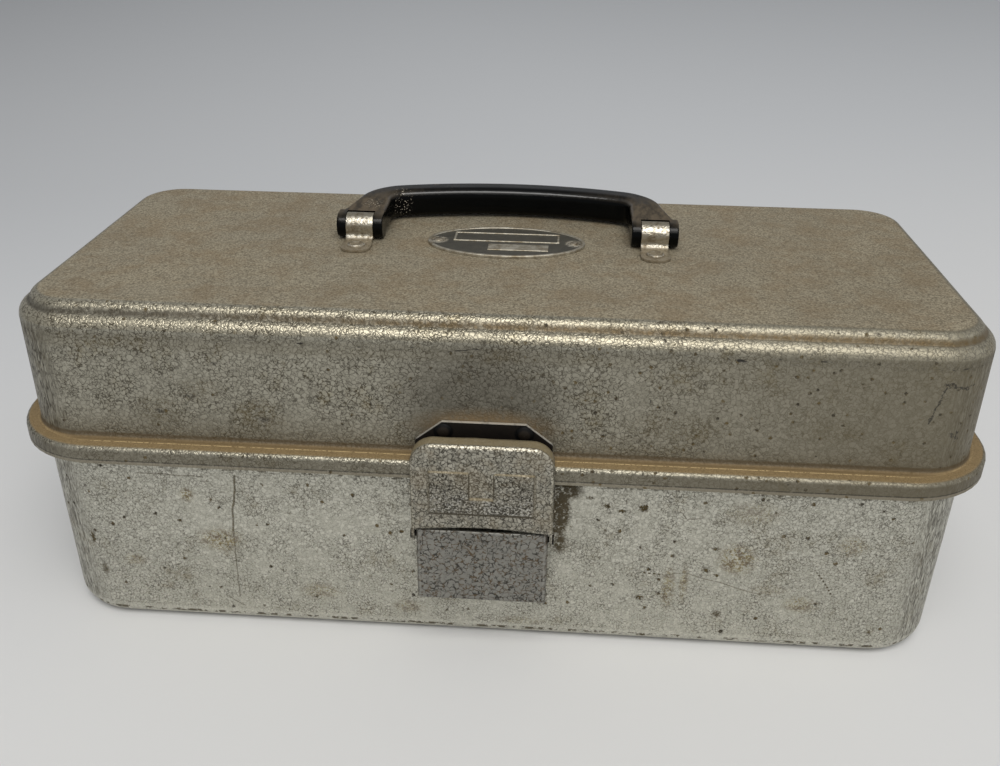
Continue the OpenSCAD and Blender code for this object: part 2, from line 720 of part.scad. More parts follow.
module grip_section() rounded_rect(grip_w, grip_h, grip_edge_r);

module handle_leg() {
    hull() {
        translate([barrel_x, handle_y + 2, handle_z]) rotate([90, 0, 0]) linear_extrude(2)
            rounded_rect(barrel_l, 2 * barrel_r, 2.5, $fn = 32);
        translate([corner_x + grip_corner_r, corner_y, grip_z]) rotate([90, 0, 0]) linear_extrude(0.5)
            rounded_rect(grip_w, grip_h, grip_edge_r, $fn = 32);
    }
}

// Part of a ring with the grip's section, inside the wedge of the given directions
module grip_ring(r, wedge) {
    intersection() {
        rotate_extrude() translate([r, 0]) grip_section();
        translate([0, 0, -grip_h]) linear_extrude(2 * grip_h)
            polygon([[0, 0], for (a = wedge) a * 2 * grip_bow_r]);
    }
}

module carrying_handle() color("#141414") {
    cheek = strap_w / 2 + strap_side_gap;
    difference() {
        union() {
            translate([0, bow_y, grip_z]) grip_ring(grip_bow_r, [grip_turn, [-grip_turn[0], grip_turn[1]]]);
            both_ends() {
                translate([corner_x, corner_y, grip_z]) grip_ring(grip_corner_r, [[1, 0], [1, 1], grip_turn]);
                handle_leg();
                translate([barrel_in, handle_y, handle_z]) rotate([0, 90, 0]) cylinder(h = barrel_l, r = barrel_r);
            }
        }
        both_ends() translate([barrel_x - cheek, handle_y, handle_z]) rotate([0, 90, 0])
            cylinder(h = 2 * cheek, r = slot_r);
    }
    both_ends() translate([barrel_x - cheek, handle_y, handle_z]) rotate([0, 90, 0])
        cylinder(h = 2 * cheek, r = strap_pin_r);
}

// ---- Tray arms

// Arm fixed to the lid's end wall: it turns with the lid and carries the rear pins of both trays
module lid_arm() {
    difference() {
        on_end_plane(inner_arm_x, arm_t) {
            link_bar(lower_pin, upper_pin, arm_r);
            link_bar(lower_pin, arm_fix[0], arm_r);
            link_bar(upper_pin, arm_fix[1], arm_r);
            link_bar(arm_fix[0], arm_fix[1], arm_r);
        }
        for (place = [lower_pin, upper_pin]) along_x(inner_arm_x - 1, place)
            cylinder(h = arm_t + 2, r = arm_pin_r + pin_clearance);
        for (place = arm_fix) along_x(inner_arm_x - 1, place) cylinder(h = arm_t + 2, r = plain_rivet[0]);
    }
}

module lid_arm_left() color("lightsteelblue") translate([-2 * inner_arm_x - arm_t, 0, 0]) lid_arm();

module lid_arm_right() color("lightsteelblue") lid_arm();

module lid_arm_spacers() color("gainsboro") {
    both_ends() for (place = arm_fix) along_x(inner_arm_x + arm_t, place) difference() {
        cylinder(h = lid_in_x - inner_arm_x - arm_t, r = arm_r - 1.5);
        translate([0, 0, -1]) cylinder(h = 10, r = plain_rivet[0]);
    }
}

module lid_arm_rivets() color("gainsboro") at_arm_rivets() rivet(plain_rivet, lid_half_l - inner_arm_x);

// Arm pivoted on the base: it keeps the trays level
module front_arm() {
    difference() {
        on_end_plane(outer_arm_x, arm_t) {
            link_bar(arm_pivot, arm_pivot + lower_pin, arm_r);
            link_bar(arm_pivot + lower_pin, arm_pivot + upper_pin, arm_r);
        }
        for (place = [lower_pin, upper_pin]) along_x(outer_arm_x - 1, arm_pivot + place)
            cylinder(h = arm_t + 2, r = arm_pin_r + pin_clearance);
        along_x(outer_arm_x - 1, arm_pivot) cylinder(h = arm_t + 2, r = pivot_rivet[0] + pin_clearance);
    }
}

module front_arm_left() color("steelblue") translate([-2 * outer_arm_x - arm_t, 0, 0]) front_arm();

module front_arm_right() color("steelblue") front_arm();

// ---- Trays

// Open tray with rounded corners and a hemmed edge; box is its back, depth, floor height and height
module tray(box, pin) {
    runs = [[tray_r - tray_bottom_r, 90, tray_bottom_r - tray_t], [box[3] - tray_bottom_r, 0, 0]];
    cx = tray_x - tray_r;
    cy = box[1] / 2 - tray_r;
    difference() {
        translate([0, hinge_y - box[0] - box[1] / 2, hinge_z + box[2]]) union() {
            sweep_round(cx, cy) {
                sheet_run(runs, tray_t);
                translate([tray_r - 2 * tray_t, box[3] - hem_h]) square([2 * tray_t, hem_h]);
            }
            translate([-cx, -cy, 0]) cube([2 * cx, 2 * cy, tray_t]);
        }
        both_ends() for (place = [pin, pin + arm_pivot]) along_x(tray_x - 5, place)
            cylinder(h = 10, r = arm_pin_r);
    }
}

module tray_dividers(box, count) {
    pitch = 2 * tray_x / (count + 1);
    h = box[3] - tray_t - hem_h - 1;
    foot = 6;
    for (i = [1:count]) translate([i * pitch - tray_x - tray_t / 2, 0, hinge_z + box[2] + tray_t]) {
        difference() {
            translate([0, hinge_y - box[0] - box[1] + tray_t, 0]) cube([tray_t, box[1] - 2 * tray_t, h]);
            for (y = [hinge_y - box[0] - box[1] + tray_bottom_r, hinge_y - box[0] - tray_bottom_r])
                translate([-1, y - tray_bottom_r, -1]) cube([tray_t + 2, 2 * tray_bottom_r, tray_bottom_r + 1]);
        }
        translate([0, hinge_y - box[0] - box[1] + 2 * tray_bottom_r, 0])
            cube([foot, box[1] - 4 * tray_bottom_r, tray_t]);
    }
}

// Shouldered rivets of a tray: the rear pair turns in the lid's arms, the front pair in the front arms
module tray_pins(pin) {
    head = 0.8;
    both_ends() {
        along_x(tray_x - tray_t - head, pin) cylinder(h = head, r = arm_pin_r + head);
        along_x(tray_x - tray_t, pin) cylinder(h = inner_arm_x + arm_t - tray_x + tray_t, r = arm_pin_r);
        along_x(tray_x, pin) cylinder(h = tray_gap - 0.1, r = arm_pin_r + 1);
        along_x(tray_x - tray_t - head, pin + arm_pivot) cylinder(h = head, r = arm_pin_r + head);
        along_x(tray_x - tray_t, pin + arm_pivot)
            cylinder(h = outer_arm_x + arm_t - tray_x + tray_t, r = arm_pin_r);
        along_x(tray_x, pin + arm_pivot) cylinder(h = outer_arm_x - tray_x - 0.1, r = arm_pin_r + 1);
    }
}

module lower_tray() color("darkgray") tray(lower_box, lower_pin);

module lower_tray_dividers() color("gray") tray_dividers(lower_box, lower_dividers);

module lower_tray_pins() color("gainsboro") tray_pins(lower_pin);

module upper_tray() color("darkgray") tray(upper_box, upper_pin);

module upper_tray_dividers() color("gray") tray_dividers(upper_box, upper_dividers);

module upper_tray_pins() color("gainsboro") tray_pins(upper_pin);

base_shell();
base_hinge_leaf_left();
base_hinge_leaf_right();
base_hinge_rivets();
hinge_pins();
latch_keeper();
latch_keeper_rivets();
arm_pivot_rivets();
arm_pivot_washers();
lid_shell();
lid_hinge_leaf_left();
lid_hinge_leaf_right();
lid_hinge_rivets();
handle_strap_left();
handle_strap_right();
handle_strap_rivets();
nameplate();
nameplate_rivets();
latch_bracket();
latch_bracket_rivets();
latch_cover();
latch_lever_pins();
lid_arm_left();
lid_arm_right();
lid_arm_spacers();
lid_arm_rivets();
carrying_handle();
latch_lever();
front_arm_left();
front_arm_right();
lower_tray();
lower_tray_dividers();
lower_tray_pins();
upper_tray();
upper_tray_dividers();
upper_tray_pins();
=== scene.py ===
from functools import partialmethod
from math import acos, atan, cos, degrees, hypot, pi, radians, sin, sqrt

import bmesh
import bpy
from mathutils import Matrix, Vector, noise


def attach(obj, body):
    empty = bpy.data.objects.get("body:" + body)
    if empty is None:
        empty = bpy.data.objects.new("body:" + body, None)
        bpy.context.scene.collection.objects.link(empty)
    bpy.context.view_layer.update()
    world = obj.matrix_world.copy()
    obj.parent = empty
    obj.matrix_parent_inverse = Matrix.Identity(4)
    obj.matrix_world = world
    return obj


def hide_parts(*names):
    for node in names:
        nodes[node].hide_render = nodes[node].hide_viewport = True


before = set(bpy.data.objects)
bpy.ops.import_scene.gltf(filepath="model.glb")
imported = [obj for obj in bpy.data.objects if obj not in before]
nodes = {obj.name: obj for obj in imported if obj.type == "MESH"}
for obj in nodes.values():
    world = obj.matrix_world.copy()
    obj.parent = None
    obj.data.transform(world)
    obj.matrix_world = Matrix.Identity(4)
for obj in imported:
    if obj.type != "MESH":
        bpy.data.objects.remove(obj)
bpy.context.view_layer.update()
mm = 0.001
print("loaded", len(nodes), "solids")

# ---- camera and light

cameraLook = {
    "place": (21.512, -361.841, 258.257),
    "turns": (0.0633579, -0.478427, -0.0119048),  # round Z, then X, then Y
    "lens": 36.78,
    "sensor": 36,
}


def makeCamera(look):
    yaw, pitch, roll = look["turns"]
    turn = Matrix.Rotation(yaw, 3, "Z") @ Matrix.Rotation(pitch, 3, "X") @ Matrix.Rotation(roll, 3, "Y")
    right, forward, up = turn.col
    data = bpy.data.cameras.new("camera")
    data.lens = look["lens"]
    data.sensor_width = look["sensor"]
    data.clip_start = 0.01
    camera = bpy.data.objects.new("camera", data)
    axes = Matrix((right, up, -forward)).transposed().to_4x4()
    camera.matrix_world = Matrix.Translation(Vector(look["place"]) * mm) @ axes
    bpy.context.scene.collection.objects.link(camera)
    bpy.context.scene.camera = camera


lightLook = {
    "worldColor": (0.95, 0.97, 1.0),
    "worldStrength": 0.37,
    "lamps": {
        # name: place and size in metres, power in watts, colour
        "overhead": ((0.2, -1.3, 2.0), (1.7, 1.65), 40, (1.0, 0.98, 0.95)),
        "sideFill": ((2.2, -0.3, 1.0), (1.0, 1.4), 4, (0.94, 0.97, 1.0)),
    },
}


def makeLights(look):
    world = bpy.data.worlds.new("studio")
    bpy.context.scene.world = world
    world.use_nodes = True
    background = world.node_tree.nodes["Background"]
    background.inputs["Color"].default_value = (*look["worldColor"], 1)
    background.inputs["Strength"].default_value = look["worldStrength"]
    for name, (place, size, power, color) in look["lamps"].items():
        data = bpy.data.lights.new(name, "AREA")
        data.shape = "RECTANGLE"
        data.size, data.size_y = size
        data.energy = power
        data.color = color
        lamp = bpy.data.objects.new(name, data)
        lamp.location = place
        lamp.rotation_euler = Vector(place).to_track_quat("Z", "Y").to_euler()
        bpy.context.scene.collection.objects.link(lamp)


makeCamera(cameraLook)
makeLights(lightLook)
bpy.context.scene.view_settings.view_transform = "Standard"


# ---- node trees, written as sums

class Wire:
    # one value in a material; sums on it add Math nodes
    def __init__(self, recipe, socket):
        self.recipe = recipe
        self.socket = socket

    def math(self, operation, *others):
        return self.recipe.add("Math", {"operation": operation}, dict(enumerate((self, *others))))

    def __rsub__(self, other):
        return self.recipe.add("Math", {"operation": "SUBTRACT"}, {0: other, 1: self})

    __add__ = __radd__ = partialmethod(math, "ADD")
    __sub__ = partialmethod(math, "SUBTRACT")
    __mul__ = __rmul__ = partialmethod(math, "MULTIPLY")
    __truediv__ = partialmethod(math, "DIVIDE")
    __abs__ = partialmethod(math, "ABSOLUTE")
    most = partialmethod(math, "MAXIMUM")
    least = partialmethod(math, "MINIMUM")

    def rise(self, low, high, start=0.0, end=1.0):
        # soft step: start below low, end above high
        return self.recipe.add(
            "MapRange",
            {"interpolation_type": "SMOOTHSTEP"},
            {"Value": self, "From Min": low, "From Max": high, "To Min": start, "To Max": end},
        )

    def band(self, low, high, soft):
        return self.rise(low - soft, low + soft) * (1 - self.rise(high - soft, high + soft))

    def out(self, name):
        return Wire(self.recipe, self.socket.node.outputs[name])


def linear(c):
    return ((c / 255 + 0.055) / 1.055) ** 2.4 if c > 10 else c / 3294


class Recipe:
    # one material; its places are in millimetres and its colours are written as 0-255
    def __init__(self, name):
        self.material = bpy.data.materials.new(name)
        self.material.use_nodes = True
        self.tree = self.material.node_tree
        self.tree.nodes.clear()
        metres = self.add("TexCoord", out="Object")
        self.place = self.vector("SCALE", metres, factor=1000)
        self.tone = None

    def add(self, kind, settings=None, sockets=None, out=0):
        node = self.tree.nodes.new("ShaderNode" + kind)
        for key, value in (settings or {}).items():
            setattr(node, key, value)
        for key, value in (sockets or {}).items():
            self.feed(node.inputs[key], value)
        return Wire(self, node.outputs[out]) if node.outputs else None

    def feed(self, socket, value):
        if isinstance(value, Wire):
            self.tree.links.new(value.socket, socket)
        elif socket.type == "RGBA":
            socket.default_value = (*map(linear, value), 1)
        else:
            socket.default_value = value

    def vector(self, operation, a, b=(0, 0, 0), factor=1.0, out=0):
        return self.add("VectorMath", {"operation": operation}, {0: a, 1: b, 3: factor}, out)

    def stretched(self, *factors):
        return self.vector("MULTIPLY", self.place, factors)

    def xyz(self, where=None):
        split = self.add("SeparateXYZ", None, {0: where or self.place})
        return split, split.out("Y"), split.out("Z")

    def normal(self):
        return self.xyz(self.add("TexCoord", out="Normal"))

    def noise(self, scale, detail=2.0, rough=0.5, where=None, out="Fac"):
        sockets = {"Vector": where or self.place, "Scale": scale, "Detail": detail, "Roughness": rough}
        return self.add("TexNoise", None, sockets, out)

    def cells(self, scale, where, feature="DISTANCE_TO_EDGE", out="Distance"):
        return self.add("TexVoronoi", {"feature": feature}, {"Vector": where, "Scale": scale}, out)

    def warped(self, scale, amount, where=None):
        # the place, pushed about by a soft noise
        where = where or self.place
        push = self.vector("SUBTRACT", self.noise(scale, 1.0, 0.5, where, "Color"), (0.5, 0.5, 0.5))
        return self.vector("ADD", where, self.vector("SCALE", push, factor=amount))

    def tint(self, mask, under, over):
        settings = {"data_type": "RGBA", "blend_type": "MIX"}
        return self.add("Mix", settings, {0: mask, 6: under, 7: over}, 2)

    def coat(self, mask, over):
        # lays a colour over the tone so far
        self.tone = self.tint(mask, self.tone, over)

    def spots(self, marks, where=None):
        # oval blots, 1 in the middle and 0 outside; marks: middle, size and strength of each
        total = None
        for middle, size, strength in marks:
            off = self.vector("SUBTRACT", where or self.place, middle)
            near = self.vector("LENGTH", self.vector("DIVIDE", off, size), out=1)
            one = near.rise(1.0, 0.3) * strength
            total = one if total is None else total.most(one)
        return total

    def crackle(self, scale, where=None, width=0.13):
        # raised grains between thin, crooked, broken cracks
        where = self.warped(scale * 2.3, 0.4 / scale, self.warped(scale * 0.9, 1.3 / scale, where))
        edge = self.cells(scale, where)
        gaps = self.noise(scale * 1.2, 1.0, 0.5, where).rise(0.3, 0.56, 0.3, 1.0)
        return edge.rise(width, width * 0.25) * gaps, edge.rise(0.0, 0.3), where

    def grit(self, scale, size, share):
        # scattered ragged specks: size in cells, share of the cells that hold one
        where = self.warped(scale * 5, 0.3 / scale)
        near = self.cells(scale, where, "F1")
        red, _, _ = self.xyz(self.cells(scale, where, "F1", "Color"))
        return near.rise(size, size * 0.45) * red.rise(share, share - 0.04)

    def scratch(self, start, end, width, dashes, where):
        # straight mark on the front; start and end are X and Z
        dx, dz = end[0] - start[0], end[1] - start[1]
        length = hypot(dx, dz)
        off = self.vector("SUBTRACT", where, (start[0], 0, start[1]))
        along = self.vector("DOT_PRODUCT", off, (dx / length, 0, dz / length), out=1)
        across = self.vector("DOT_PRODUCT", off, (-dz / length, 0, dx / length), out=1)
        _, y, _ = self.xyz()
        mark = abs(along - length / 2).rise(length / 2, length / 2 - 0.8)
        mark = mark * abs(across).rise(width, width * 0.4) * y.rise(0, -40)
        if dashes:
            mark = mark * (along * dashes).math("SINE").rise(-0.3, 0.1)
        return mark

    def finish(self, height, depth, **sockets):
        # height is a bump's height field, depth its full size in millimetres
        sockets = {key.replace("_", " "): value for key, value in sockets.items()}
        sockets["Base Color"] = self.tone
        shader = self.add("BsdfPrincipled", None, sockets, "BSDF")
        bump = self.add("Bump", None, {"Height": height, "Distance": depth * mm}, "Normal")
        self.feed(shader.socket.node.inputs["Normal"], bump)
        self.add("OutputMaterial", None, {"Surface": shader}, None)
        return self.material


# ---- making meshes

def smooth(mesh, sharp):
    mesh.shade_smooth()
    mesh.set_sharp_from_angle(angle=radians(sharp))


def makePiece(name, verts, faces, sharp=35):
    mesh = bpy.data.meshes.new(name)
    mesh.from_pydata([Vector(v) * mm for v in verts], [], faces)
    shape = bmesh.new()
    shape.from_mesh(mesh)
    bmesh.ops.remove_doubles(shape, verts=shape.verts, dist=0.002 * mm)
    bmesh.ops.recalc_face_normals(shape, faces=shape.faces)
    shape.to_mesh(mesh)
    shape.free()
    smooth(mesh, sharp)
    piece = bpy.data.objects.new(name, mesh)
    bpy.context.scene.collection.objects.link(piece)
    return piece


def settle(piece, sharp):
    # turns the piece's modifiers into its mesh
    bpy.context.view_layer.update()
    mesh = bpy.data.meshes.new_from_object(piece.evaluated_get(bpy.context.evaluated_depsgraph_get()))
    piece.modifiers.clear()
    piece.data = mesh
    smooth(mesh, sharp)


def dress(piece, body, finish, replaced):
    piece.data.materials.clear()
    piece.data.materials.append(finish)
    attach(piece, body)
    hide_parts(replaced)


def bevel(piece, width, angle=30):
    rounding = piece.modifiers.new("edges", "BEVEL")
    rounding.width = width * mm
    rounding.segments = 2
    rounding.limit_method = "ANGLE"
    rounding.angle_limit = radians(angle)
    return piece


def thicken(piece, thickness, offset=-1):
    wall = piece.modifiers.new("sheet", "SOLIDIFY")
    wall.thickness = thickness * mm
    wall.offset = offset
    return piece


def polar(radius, turn):
    a = radians(turn)
    return radius * cos(a), radius * sin(a)


def softStep(a, b, x):
    t = max(0.0, min(1.0, (x - a) / (b - a)))
    return t * t * (3 - 2 * t)


def rolled(edge, inside):
    # how far a rounded edge falls back, at a distance inside the outline
    return edge - sqrt(max(0.0, edge**2 - (edge - inside) ** 2)) if inside < edge else 0.0


def gridFaces(rows, columns, closed=False, start=0):
    faces = []
    for i in range(rows - 1):
        for j in range(columns if closed else columns - 1):
            k = (j + 1) % columns
            a, b = start + i * columns, start + (i + 1) * columns
            faces.append((a + j, a + k, b + k, b + j))
    return faces


def loft(rings):
    # closed rings in a row, with a cap at each end
    count = len(rings[0])
    verts = [p for ring in rings for p in ring]
    faces = gridFaces(len(rings), count, True)
    faces.append(tuple(range(count))[::-1])
    faces.append(tuple(len(verts) - count + i for i in range(count)))
    return verts, faces


def join(verts, faces, more, moreFaces):
    faces += [tuple(i + len(verts) for i in face) for face in moreFaces]
    verts += more


def traceSheet(runs, thickness, u=0.0, w=0.0, step=7.0):
    # outside line of a bent sheet: straight lengths and turns; the sheet lies on its left
    heading = 0.0
    line = [(u, w, heading)]
    for flat, turn, radius in runs:
        pieces = max(1, round(flat / step)) if flat > 0 else 0
        for i in range(pieces):
            along = flat * (i + 1) / pieces
            line.append((u + along * cos(heading), w + along * sin(heading), heading))
        u, w = line[-1][:2]
        if turn:
            side = 1 if turn > 0 else -1
            r = (radius + thickness if turn > 0 else radius) * side
            middleU, middleW = u - sin(heading) * r, w + cos(heading) * r
            arcs = max(3, round(abs(turn) / 10))
            for i in range(arcs):
                a = heading + radians(turn) * (i + 1) / arcs
                line.append((middleU + sin(a) * r, middleW - cos(a) * r, a))
            u, w, heading = line[-1]
    return line


# ---- the two drawn shells

body = {
    "rim": (137, 43, 33),  # corner axes and radius of the rim
    "lid": (141.9, 47.9, 21),
    "top": 127.3,
    "split": 79,
    "skirt": 6.5,
    "sheet": 1.0,
    "panelDrop": 3.9,  # depth of the groove round the panel
    "panelEdge": 4.5,
    "panelSlope": 60,
    "groove": 1.0,
    "shoulder": (5.2, 22),  # radius, and its lean where the groove ends
    "foot": 1.2,
    "wall": 26.7,  # distance of the base's wall from its corner axes, under the rim
    "draft": 1.0,
    "bottom": 6.7,
    "bend": 1.0,
    "lip": 2.0,
    "gap": 0.3,
    "skirtGap": 0.6,
    "dents": 0.22,
    "dented": (3, 74),  # heights between which the base's wall is dented
    "sides": (36, 13),  # steps along a long and a short side
    "arcs": 12,  # steps round a corner
}


class DrawnSheet(Recipe):
    # crackled sheet aluminium; each shell adds its own dirt and marks
    def __init__(self, name, look):
        super().__init__(name)
        self.look = look
        self.x, self.y, self.z = self.xyz()
        _, _, nz = self.normal()
        line, hill, grain = self.crackle(look["cells"])
        streakLine, streakHill, _ = self.crackle(1.1, self.stretched(1, 1, 0.17), 0.17)
        streaks = self.noise(0.9, 2.0, 0.6, self.stretched(1, 1, 0.12))
        corner = abs(self.x).rise(143, 151) * abs(self.y).rise(48, 58)
        if "cornerTop" in look:
            corner = corner * self.z.rise(*look["cornerTop"])
        self.line = line + (streakLine - line) * corner
        self.hill = hill + (streakHill - hill) * corner
        self.blot = self.noise(0.03, 4.0, 0.62)
        self.patch = self.noise(0.075, 5.0, 0.68)
        self.speck = self.noise(0.42, 3.0, 0.65)
        self.fine = self.noise(1.6, 3.0, 0.65)
        self.wall = self.patch.rise(0.34, 0.62, look["calm"], 1.0).most(corner)
        self.rough = self.warped(look["ragged"], 2.2)
        # rounded bands: less bumpy and rough here, and wear() lays a painted highlight on them
        self.smooth = nz.band(0.22, 0.92, 0.07)
        mottle = self.cells(look["cells"], grain, "F1", "Color")
        self.tone = self.tint(mottle * 0.45 + self.blot * 0.3 + self.fine * 0.3, *look["tones"])
        self.coat(corner * streaks.rise(0.42, 0.6) * 0.45, (88, 82, 68))

    def beyond(self, cx, cy):
        # distance outside the oblong between four corner axes
        ax, ay = (abs(self.x) - cx).most(0), (abs(self.y) - cy).most(0)
        return (ax * ax + ay * ay).math("SQRT")

    def wear(self):
        # dark cracks, dull and brown patches, and a painted highlight, partly bare metal, on what curves
        brown = self.patch.rise(0.52, 0.72) * self.speck.rise(0.35, 0.6)
        self.coat(self.line * self.wall * self.look["cracks"], (54, 48, 36))
        self.coat(self.fine.rise(0.42, 0.3) * 0.42, (90, 84, 68))
        self.coat(brown * 0.4, (114, 100, 62))
        # painted highlight on the rounded bands, lighter to the left, with the cracks running through it
        bright = self.tint(self.x.rise(-110, 10), (206, 196, 170), (168, 156, 126))
        bright = self.tint(self.line, bright, (72, 64, 46))
        self.coat(self.smooth * self.x.rise(-110, 0, 0.45, 0.3), bright)

    def scratches(self, marks, rows, where, ragged):
        # rows: X and Z of both ends, half width, dashes and strength
        for x0, z0, x1, z1, width, dashes, strength in rows:
            mark = self.scratch((x0, z0), (x1, z1), width, dashes, where)
            marks = marks.most(mark * ragged * strength)
        return marks

    def soil(self, dust, marks, nicksAndShadeLines, grit, ink):
        # ends the recipe with the dirt, and the painted shade lines among the nicks, on top
        speck, smooth, wall = self.speck, self.smooth, self.wall
        self.coat((grit * (1 - dust)).least(1), self.tint(speck.rise(0.4, 0.6), (44, 37, 22), (92, 78, 46)))
        self.coat(marks.most(nicksAndShadeLines), ink)
        stained = grit.most(marks).most(nicksAndShadeLines).least(1)
        grain = self.hill * 0.7 * wall + self.fine * 0.15 + speck * 0.15
        return self.finish(
            Metallic=(0.9 - 0.75 * dust) * (1 - 0.4 * self.line * wall) * (1 - 0.85 * stained),
            Roughness=0.35 + 0.08 * self.blot + 0.35 * dust + 0.1 * self.line + 0.35 * stained - 0.06 * smooth,
            height=grain * (1 - 0.35 * smooth) - stained * 0.2,
            depth=0.13,
        )


def onWall(y, depth, marks):
    # blots on a front wall, each from X, Z, half width, half height and strength
    return [((x, y, z), (w, depth, h), strength) for x, z, w, h, strength in marks]


def lidSheet(b):
    r = DrawnSheet("lidSheet", {
        "cells": 0.7,
        "cornerTop": (123, 116),
        "calm": 0.5,
        "ragged": 0.7,
        "cracks": 0.95,
        # darker than the base's tones: partly dirt, partly painted shade for the darker surroundings the lid
        # front reflects
        "tones": ((126, 123, 110), (184, 180, 165)),
    })
    x, z, line, speck, fine = r.x, r.z, r.line, r.speck, r.fine
    top, split, rimR = b["top"], b["split"], b["rim"][2]
    onPanel = r.beyond(*b["lid"][:2])
    onRim = r.beyond(*b["rim"][:2])
    groove = onPanel.band(16.4, 17.7, 0.6) * z.rise(top - 5.3, top - 4.7)
    r.smooth = r.smooth * (1 - groove) * (1 - z.band(split + 0.1, split + 2, 0.1))
    r.smooth = r.smooth * z.rise(split, split + 6, 0.35, 1.0)
    r.wall = r.wall * x.rise(20, 130, 1.0, 0.55)
    r.wear()

    # the front wall: dull to the right, brown clouds, and a darker oval above the latch
    foot = z.rise(split + 16, split + 1) * z.rise(split - 0.8, split - 0.1)
    under = z.band(top - 14.3, top - 8.7, 1.4)
    dull = (foot * 0.4 * speck.rise(0.35, 0.6, 0.7, 1.0)).most(under * 0.25).most(x.rise(0, 150) * 0.6)
    clouds = r.spots(onWall(-70, 6, [
        (-112, 91, 12, 9, 0.55), (-78, 90, 13, 9, 0.65), (-97, 99, 12, 7, 0.45), (60, 92, 26, 8, 0.45),
        (110, 93, 16, 7, 0.35),
    ])) * (speck * 0.35 + fine * 0.65).rise(0.46, 0.56)
    # a darker oval over the wall above the latch
    darkOverLatch = r.spots(onWall(-70, 20, [(-3, 99, 40, 28, 1)]))
    fringe = r.spots(onWall(-70, 20, [(-2, 89, 31, 9, 1)])) * speck.rise(0.3, 0.55, 0.5, 1.0)
    r.coat(dull * (1 - r.smooth * 0.7), (90, 80, 56))
    r.coat(z.rise(split - 1, split - 2) * 0.52, (96, 89, 73))
    r.coat(clouds, (82, 70, 38))
    r.coat(darkOverLatch * 0.62, (54, 48, 36))
    r.coat(fringe * 0.85, (126, 106, 76))
    tan = r.tint(x.rise(-150, 20), (58, 52, 39), (98, 80, 49))
    r.coat(groove * speck.rise(0.3, 0.6, 0.55, 0.9) * (1 - line * 0.3), tan)

    # tan dirt on the ledge, and a dusty film on the panel
    ledge = z.rise(split - 1, split - 0.4) * z.rise(split + 0.7, split + 0.2)
    ledge = ledge * onRim.rise(rimR - 0.8, rimR - 1.7)
    grime = r.tint(speck * 0.5 + fine * 0.5, (116, 95, 60), (172, 148, 106))
    grime = r.tint((line * 0.3).most(onRim.rise(rimR - 4.4, rimR - 6.2) * 0.5), grime, (84, 66, 38))
    r.coat(ledge * 0.92, grime)
    panel = onPanel.rise(14.6, 13.0) * z.rise(top - 7.3, top - 5.3)
    bare = r.blot.rise(0.36, 0.6, 1.0, 0.88)
    film = r.tint(fine.rise(0.33, 0.67), (108, 98, 78), (176, 165, 140))
    film = r.tint(r.patch.rise(0.4, 0.65) * 0.45, film, (134, 113, 82))
    film = r.tint(line * 0.22, film, (70, 60, 42))
    r.coat(panel * bare * 0.92, film)
    fillet = z.band(split + 0.3, split + 1.9, 0.35)
    r.coat(fillet * 0.75, (84, 68, 42))
    dashes = onRim.band(rimR - 4.7, rimR - 4.35, 0.15) * (speck * 0.5 + fine * 0.5).rise(0.44, 0.5)
    dashes = dashes * z.band(split - 0.5, split + 0.8, 0.2) * abs(x).rise(146, 128, 0.15, 1.0)
    r.coat(dashes * 0.85, (226, 200, 150))
    # painted shade: a dark broken line for the crease of a rolled hem across the skirt
    hemShadeLine = z.band(split - 5.3, split - 4.9, 0.12) * speck.rise(0.35, 0.5, 0.3, 1.0)
    # painted highlight: a lighter strip along the skirt's lowest edge
    r.coat(z.rise(split - 5.2, split - 5.6) * 0.35, (168, 160, 142))
    dust = (panel * bare * 0.85).most(ledge * 0.75).most(groove * 0.4).most(dull * 0.5).most(darkOverLatch * 0.5)
    dust = dust.most(fringe * 0.6).most(clouds * 0.6).most(fillet * 0.8)

    marks = r.spots(onWall(-64, 6, [(-147.8, 100.9, 1.8, 3.6, 1.0)]) + onWall(-70, 6, [
        (-111.9, 90.1, 2.2, 1.4, 0.8), (-101.4, 96.3, 2.6, 0.9, 0.75), (-91.1, 108.7, 2.4, 0.6, 0.8),
        (-76.4, 88.4, 3.4, 1.6, 0.7), (51.8, 101.7, 0.8, 0.7, 0.9),
    ]), r.rough) * fine.rise(0.35, 0.5)
    strokes = [
        (142.4, 112, 147.4, 110.2), (143, 112.6, 152, 109), (147, 110, 153.4, 110.6), (143.6, 111, 141.4, 102),
        (141.6, 103, 140.4, 97), (147.6, 94, 151.6, 91), (150.6, 95, 151.2, 90),
    ]
    marks = r.scratches(marks, [(*ends, 0.5, 0, 0.85) for ends in strokes], r.rough, fine.rise(0.38, 0.52))
    nicksAndShadeLines = z.band(116.5, 118.5, 0.8) * r.noise(0.5, 2.0, 0.5, r.stretched(0.4, 1, 1.6)).rise(0.64, 0.7)
    nicksAndShadeLines = nicksAndShadeLines.most(hemShadeLine * 0.7).most(fine.rise(0.5, 0.55) * z.band(116, 119, 0.5) * 0.3)
    grit = r.grit(0.3, 0.25, x.rise(-60, 100, 0.14, 0.6)) * (1 - panel) * fine.rise(0.34, 0.5, 0.5, 1.3)
    return r.soil(dust, marks, nicksAndShadeLines, grit, (36, 33, 28))


